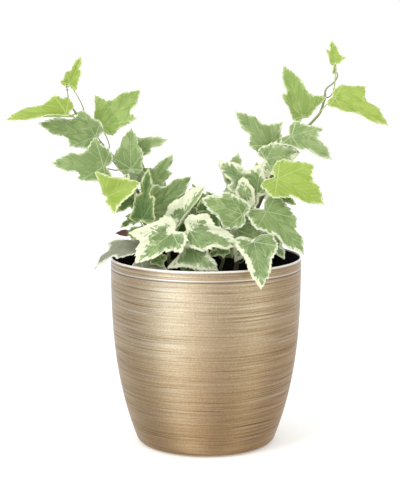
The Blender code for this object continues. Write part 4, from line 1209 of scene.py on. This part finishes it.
# %% The satin upper side
def upper_face(tone):
    """Satin and waxy above: green fields, pale veins and a ragged cream edge."""
    green, deep, cream, vein, cream_width = LEAF_TONES[tone]
    material, shader = new_material("satin_ivy_upper_" + tone, roughness=0.46,
                                    specular_ior_level=0.42)
    add = partial(add_node, material)
    names = ("vein_mm", "along_mm", "edge_mm", "seed", "cream")
    vein_mm, along_mm, edge_mm, seed, cream_share = (
        add("Attribute", attribute_name=name).outputs["Fac"] for name in names)
    place = add("TexCoord").outputs["Object"]
    wobble = add("TexNoise", {"Vector": place, "Scale": WOBBLE_SCALE, "Detail": 2.0})
    jags = add("TexNoise", {"Vector": place, "Scale": JAG_SCALE, "Detail": 1.0})
    cloud = add("TexNoise", {"Vector": place, "Scale": CLOUD_SCALE, "Detail": 2.0})

    # The fields lie slanted, as the side veins do.
    slant = add("Math MULTIPLY_ADD", {0: vein_mm, 1: -0.9, 2: along_mm})
    squeezed = add("Math MULTIPLY", {0: vein_mm, 1: 0.42})
    own = add("Math MULTIPLY", {0: seed, 1: 17.0})
    straight = add("CombineXYZ", {"X": slant, "Y": squeezed, "Z": own})
    loose = add("VectorMath MULTIPLY_ADD",
                {0: wobble.outputs["Color"], 1: (1.1, 0.8, 0.0), 2: straight})
    fields = add("TexVoronoi", {"Vector": loose, "Scale": 1.0 / FIELD_SIZE})
    field = add("SeparateColor", {"Color": fields.outputs["Color"]})
    patches = add("TexVoronoi", {"Vector": loose, "Scale": 0.42 / FIELD_SIZE})
    patch = add("SeparateColor", {"Color": patches.outputs["Color"]})

    # The cream edge is wider in some fields than in others.
    width = add("Math MULTIPLY_ADD",
                {0: field.outputs["Red"], 1: cream_width * 1.1, 2: cream_width * 0.15})
    width = add("Math MULTIPLY_ADD", {0: patch.outputs["Green"], 1: cream_width * 0.5, 2: width})
    width = add("Math MULTIPLY", {0: width, 1: cream_share})
    ragged = add("Math MULTIPLY_ADD", {0: jags, 1: 1.8, 2: -0.95})
    width = add("Math ADD", {0: width, 1: ragged})
    inside = add("Math SUBTRACT", {0: edge_mm, 1: width})
    is_green = add("MapRange", {"Value": inside, "From Min": -0.05, "From Max": 0.22}, **SMOOTH)

    # Green: darker fields, half-green fields by the border, and soft clouds.
    is_deep = add("MapRange",
                  {"Value": patch.outputs["Red"], "From Min": 0.42, "From Max": 0.5,
                   "To Max": 0.85}, **SMOOTH)
    body = add("Mix", {"Factor": is_deep, "A": colour(green), "B": colour(deep)})
    age = add("Math MULTIPLY", {0: seed, 1: 0.37})
    age = add("Math PINGPONG", {0: age, 1: 1.0})
    age = add("Math MULTIPLY", {0: age, 1: 0.45})
    body = add("Mix", {"Factor": age, "A": body, "B": colour(deep)})
    by_border = add("MapRange",
                    {"Value": inside, "From Min": 0.5, "From Max": 1.2 + 0.7 * cream_width,
                     "To Min": 1.0, "To Max": 0.0}, **SMOOTH)
    pale_field = add("MapRange",
                     {"Value": field.outputs["Blue"], "From Min": 0.38, "From Max": 0.46,
                      "To Max": 0.7}, **SMOOTH)
    half_green = add("Math MULTIPLY", {0: by_border, 1: pale_field})
    body = add("Mix", {"Factor": half_green, "A": body, "B": colour(vein)})
    shade = add("MapRange", {"Value": cloud, "From Min": 0.4, "From Max": 0.62, "To Max": 0.5},
                **SMOOTH)
    body = add("Mix", {"Factor": shade, "A": body, "B": colour(deep)})

    # Pale veins: the main ones from the stalk, and side ones that leave them at a slant.
    main_gap = add("Math MULTIPLY_ADD", {0: along_mm, 1: 0.014, 2: vein_mm})
    main_vein = add("MapRange",
                    {"Value": main_gap, "From Min": 0.2, "From Max": 0.68, "To Min": 0.8,
                     "To Max": 0.0}, **SMOOTH)
    side = add("Math MULTIPLY_ADD", {0: vein_mm, 1: -1.15, 2: along_mm})
    side = add("Math MULTIPLY_ADD", {0: wobble, 1: 1.4, 2: side})
    side = add("Math MULTIPLY", {0: side, 1: 1.0 / SIDE_VEIN_GAP})
    side = add("Math PINGPONG", {0: side, 1: 0.5})
    side_vein = add("MapRange",
                    {"Value": side, "From Min": 0.02, "From Max": 0.075, "To Min": 0.42,
                     "To Max": 0.0}, **SMOOTH)
    veins = add("Math MAXIMUM", {0: main_vein, 1: side_vein})
    body = add("Mix", {"Factor": veins, "A": body, "B": colour(vein)})

    fleck = add("MapRange", {"Value": cloud, "From Min": 0.45, "From Max": 0.75, "To Max": 0.25},
                **SMOOTH)
    edge = add("Mix", {"Factor": fleck, "A": colour(cream), "B": colour(vein)})
    painted = add("Mix", {"Factor": is_green, "A": edge, "B": body})
    if tone in DRY_FROM:
        dry = add("MapRange",
                  {"Value": along_mm, "From Min": DRY_FROM[tone],
                   "From Max": DRY_FROM[tone] + 2.5}, **SMOOTH)
        brown = add("Mix", {"Factor": wobble, "A": colour("#4A2E24"), "B": colour("#74523F")})
        painted = add("Mix", {"Factor": dry, "A": painted, "B": brown})
    plug_in(material, shader, "Base Color", painted)

    # Relief: small pillows between the net of fine veins, and sunken side veins.
    net = add("TexVoronoi", {"Vector": place, "Scale": 1000.0 / NET_SIZE},
              feature="DISTANCE_TO_EDGE")
    pillow = add("MapRange", {"Value": net, "From Min": 0.0, "From Max": 0.28}, **SMOOTH)
    relief = add("Math MULTIPLY_ADD", {0: side_vein, 1: -1.6, 2: pillow})
    bump = add("Bump", {"Height": relief, "Strength": 0.35, "Distance": 0.14 * MM})
    plug_in(material, shader, "Normal", bump)
    glow = add("BsdfTranslucent", {"Color": painted, "Normal": bump})
    both = add("MixShader", {0: GLOW, 1: shader, 2: glow})
    plug_in(material, material.node_tree.nodes["Material Output"], "Surface", both)
    return material


# %% The dull underside and the stalk
def under_face(tone):
    """No wax below: the same colours, but paler and dull, with pale veins."""
    green, _, cream, vein, cream_width = LEAF_TONES[tone]
    material, shader = new_material("dull_ivy_underside_" + tone, roughness=0.68,
                                    specular_ior_level=0.3)
    add = partial(add_node, material)
    vein_mm, edge_mm = (add("Attribute", attribute_name=name).outputs["Fac"]
                        for name in ("vein_mm", "edge_mm"))
    place = add("TexCoord").outputs["Object"]
    wobble = add("TexNoise", {"Vector": place, "Scale": 420.0, "Detail": 3.0})
    border = add("Math MULTIPLY_ADD", {0: wobble, 1: -2.0 * cream_width, 2: edge_mm})
    is_green = add("MapRange", {"Value": border, "From Min": -0.3, "From Max": 0.3}, **SMOOTH)
    dull = add("Mix", {"Factor": wobble, "A": colour(green), "B": colour("#A9B79C")})
    body = add("Mix", {"Factor": is_green, "A": colour(cream), "B": dull})
    main_vein = add("MapRange",
                    {"Value": vein_mm, "From Min": 0.2, "From Max": 0.7, "To Min": 0.8,
                     "To Max": 0.0}, **SMOOTH)
    body = add("Mix", {"Factor": main_vein, "A": body, "B": colour(vein)})
    plug_in(material, shader, "Base Color", body)
    bump = add("Bump", {"Height": wobble, "Strength": 0.3, "Distance": 0.12 * MM})
    plug_in(material, shader, "Normal", bump)
    glow = add("BsdfTranslucent", {"Color": body, "Normal": bump})
    both = add("MixShader", {0: GLOW, 1: shader, 2: glow})
    plug_in(material, material.node_tree.nodes["Material Output"], "Surface", both)
    return material


def stalk_skin(tone):
    """A leaf's stalk is smooth and green, and reddish-brown where it leaves the vine."""
    material, shader = new_material("smooth_stalk_" + tone, roughness=0.5)
    add = partial(add_node, material)
    share = add("Attribute", attribute_name="share").outputs["Fac"]
    place = add("TexCoord").outputs["Object"]
    streak = add("TexNoise", {"Vector": place, "Scale": 900.0})
    young = "#B9C98A" if tone in ("lime", "young") else "#93A672"
    off_vine = add("MapRange", {"Value": share, "From Max": 0.6})
    shade = add("Mix", {"Factor": off_vine, "A": colour("#6E5B4C"), "B": colour(young)})
    faint = add("MapRange", {"Value": streak, "From Min": 0.3, "From Max": 0.7, "To Max": 0.3})
    shade = add("Mix", {"Factor": faint, "A": shade, "B": colour("#5E6A40")})
    plug_in(material, shader, "Base Color", shade)
    return material


leaf_finishes = {tone: (upper_face(tone), under_face(tone), stalk_skin(tone))
                 for tone in LEAF_TONES}
print("leaf finishes:", ", ".join(leaf_finishes))

# %% Make every leaf
OWN_FINISH = {"c5": "withered", "b3": "mature"}
furthest = 0.0
for letter, rows in LEAVES.items():
    for number, row in enumerate(rows, start=1):
        own = f"{letter}{number}"
        piece = make_leaf("ivy_leaf_" + own, letter, row, OWN_FINISH.get(own, row[-1]))
        node = f"vine_{letter}_leaf_{number}"
        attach(piece, "root")
        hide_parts(node)
        low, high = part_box(node)
        corners = np.array([vertex.co for vertex in piece.data.vertices])
        off = max(np.abs(corners.min(axis=0) - np.array(low)).max(),
                  np.abs(corners.max(axis=0) - np.array(high)).max())
        furthest = max(furthest, off)
for letter, piece in vines.items():
    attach(piece, "root")
    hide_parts("vine_" + letter)
print("leaves:", sum(map(len, LEAVES.values())), "pieces; furthest off a solid's box:",
      round(furthest / MM, 1), "mm")

# %% [markdown]
# ## Small inner leaves and buds
#
# Under and between the large leaves every vine has small shaded leaves, and two vines end in a bud
# that is still folded. They are too small to matter as solids, so they have none, but without them
# one looks straight through the plant onto bare soil. They are made as the other leaves are.

# %% Small inner leaves and buds
SMALL_LEAVES = {
    "inner_c1": (1.2, (-44, -34, 2), (-24, -48, -4), (-0.2, -0.8, 0.9), (0.45, 0.30), (0.45, 0.30),
                 0.4, 0.03, 5, 5, "grey"),
    "inner_d1": (2.3, (-28, -16, 16), (-17, -24, 5), (-0.1, -1, 0.5), *MIDDLING, "dark"),
    "inner_d2": (1.7, (-14, -26, 2), (-2, -34, -8), (0.1, -1, 0.5), *MIDDLING, "dark"),
    "inner_e1": (3.0, (2, -14, 22), (-4, -14, 40), (-0.1, -1, 0.1), (0.40, 0.45), (0.40, 0.45),
                 0.5, 0.05, 10, 10, "dark"),
    "inner_e2": (2.2, (6, -20, 16), (18, -24, 2), (0.1, -1, 0.4), (0.35, 0.50), (0.35, 0.50),
                 0.7, 0.06, 10, 10, "dark"),
    "inner_e3": (3.4, (12, -12, 30), (0, -12, 46), (0.0, -1, 0.1), (0.45, 0.42), (0.45, 0.42),
                 0.6, 0.05, 12, 12, "dark"),
    "inner_f1": (2.4, (20, -26, 22), (38, -30, 14), (0.1, -1, 0.3), (0.40, 0.50), (0.40, 0.50),
                 0.7, 0.06, 10, 10, "mature"),
    "inner_f2": (1.6, (30, -16, 6), (42, -24, -6), (0.2, -1, 0.4), *MIDDLING, "dark"),
    "inner_f3": (2.6, (17, -5, 27), (27, -3, 43), (0.0, -1, 0.1), (0.40, 0.42), (0.40, 0.42),
                 0.6, 0.05, 10, 10, "mature"),
    "inner_b1": (1.6, (-18, -4, 14), (-26, -10, 30), (-0.1, -1, 0.3), (0.40, 0.45), (0.40, 0.45),
                 0.6, 0.05, 10, 10, "dark"),
    "inner_b2": (2.3, (-24, 12, 22), (-12, 24, 10), (0.2, 0.9, 0.5), *BROAD, "young"),
    "inner_b3": (1.5, (-10, 24, 6), (-16, 38, -3), (-0.1, 0.8, 0.6), (0.35, 0.42), (0.35, 0.42),
                 0.7, 0.08, 10, 10, "cream"),
    "inner_b4": (3.4, (-44, 12, 56), (-56, 20, 40), (-0.2, 0.9, 0.4), *MIDDLING, "mature"),
    "inner_g1": (1.7, (40, 16, 26), (48, 30, 12), (0.3, 0.9, 0.5), *BROAD, "cream"),
    "inner_g2": (3.4, (50, 12, 72), (60, 18, 57), (0.3, 0.9, 0.4), *MIDDLING, "young"),
    "inner_h1": (1.2, (-4, 40, 8), (-16, 60, -2), (-0.1, 0.7, 0.7), (0.35, 0.50), (0.35, 0.50),
                 0.7, 0.10, 10, 10, "mature"),
    "inner_h2": (2.1, (20, 34, 13), (27, 45, 4), (0.2, 0.7, 0.7), (0.35, 0.40), (0.35, 0.40),
                 0.7, 0.10, 10, 10, "young"),
    "inner_h3": (3.1, (22, 36, 40), (12, 46, 54), (-0.1, 0.9, 0.3), (0.40, 0.45), (0.40, 0.45),
                 0.6, 0.06, 10, 10, "mature"),
    "bud_a1": (8.8, (-93, -4, 115), (-94, -5, 122), (0.3, -1, 0.2), (0.35, 0.22), (0.35, 0.22),
               0.3, 0.05, 45, 45, "lime"),
    "bud_g1": (11.8, (86, 7, 124), (87, 5, 132), (0.4, -1, 0.2), (0.35, 0.22), (0.35, 0.22),
               0.3, 0.05, 45, 45, "lime"),
}
for name, row in SMALL_LEAVES.items():
    piece = make_leaf("ivy_" + name, name[-2], row, row[-1])
    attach(piece, "root")
print("small leaves and buds:", len(SMALL_LEAVES))
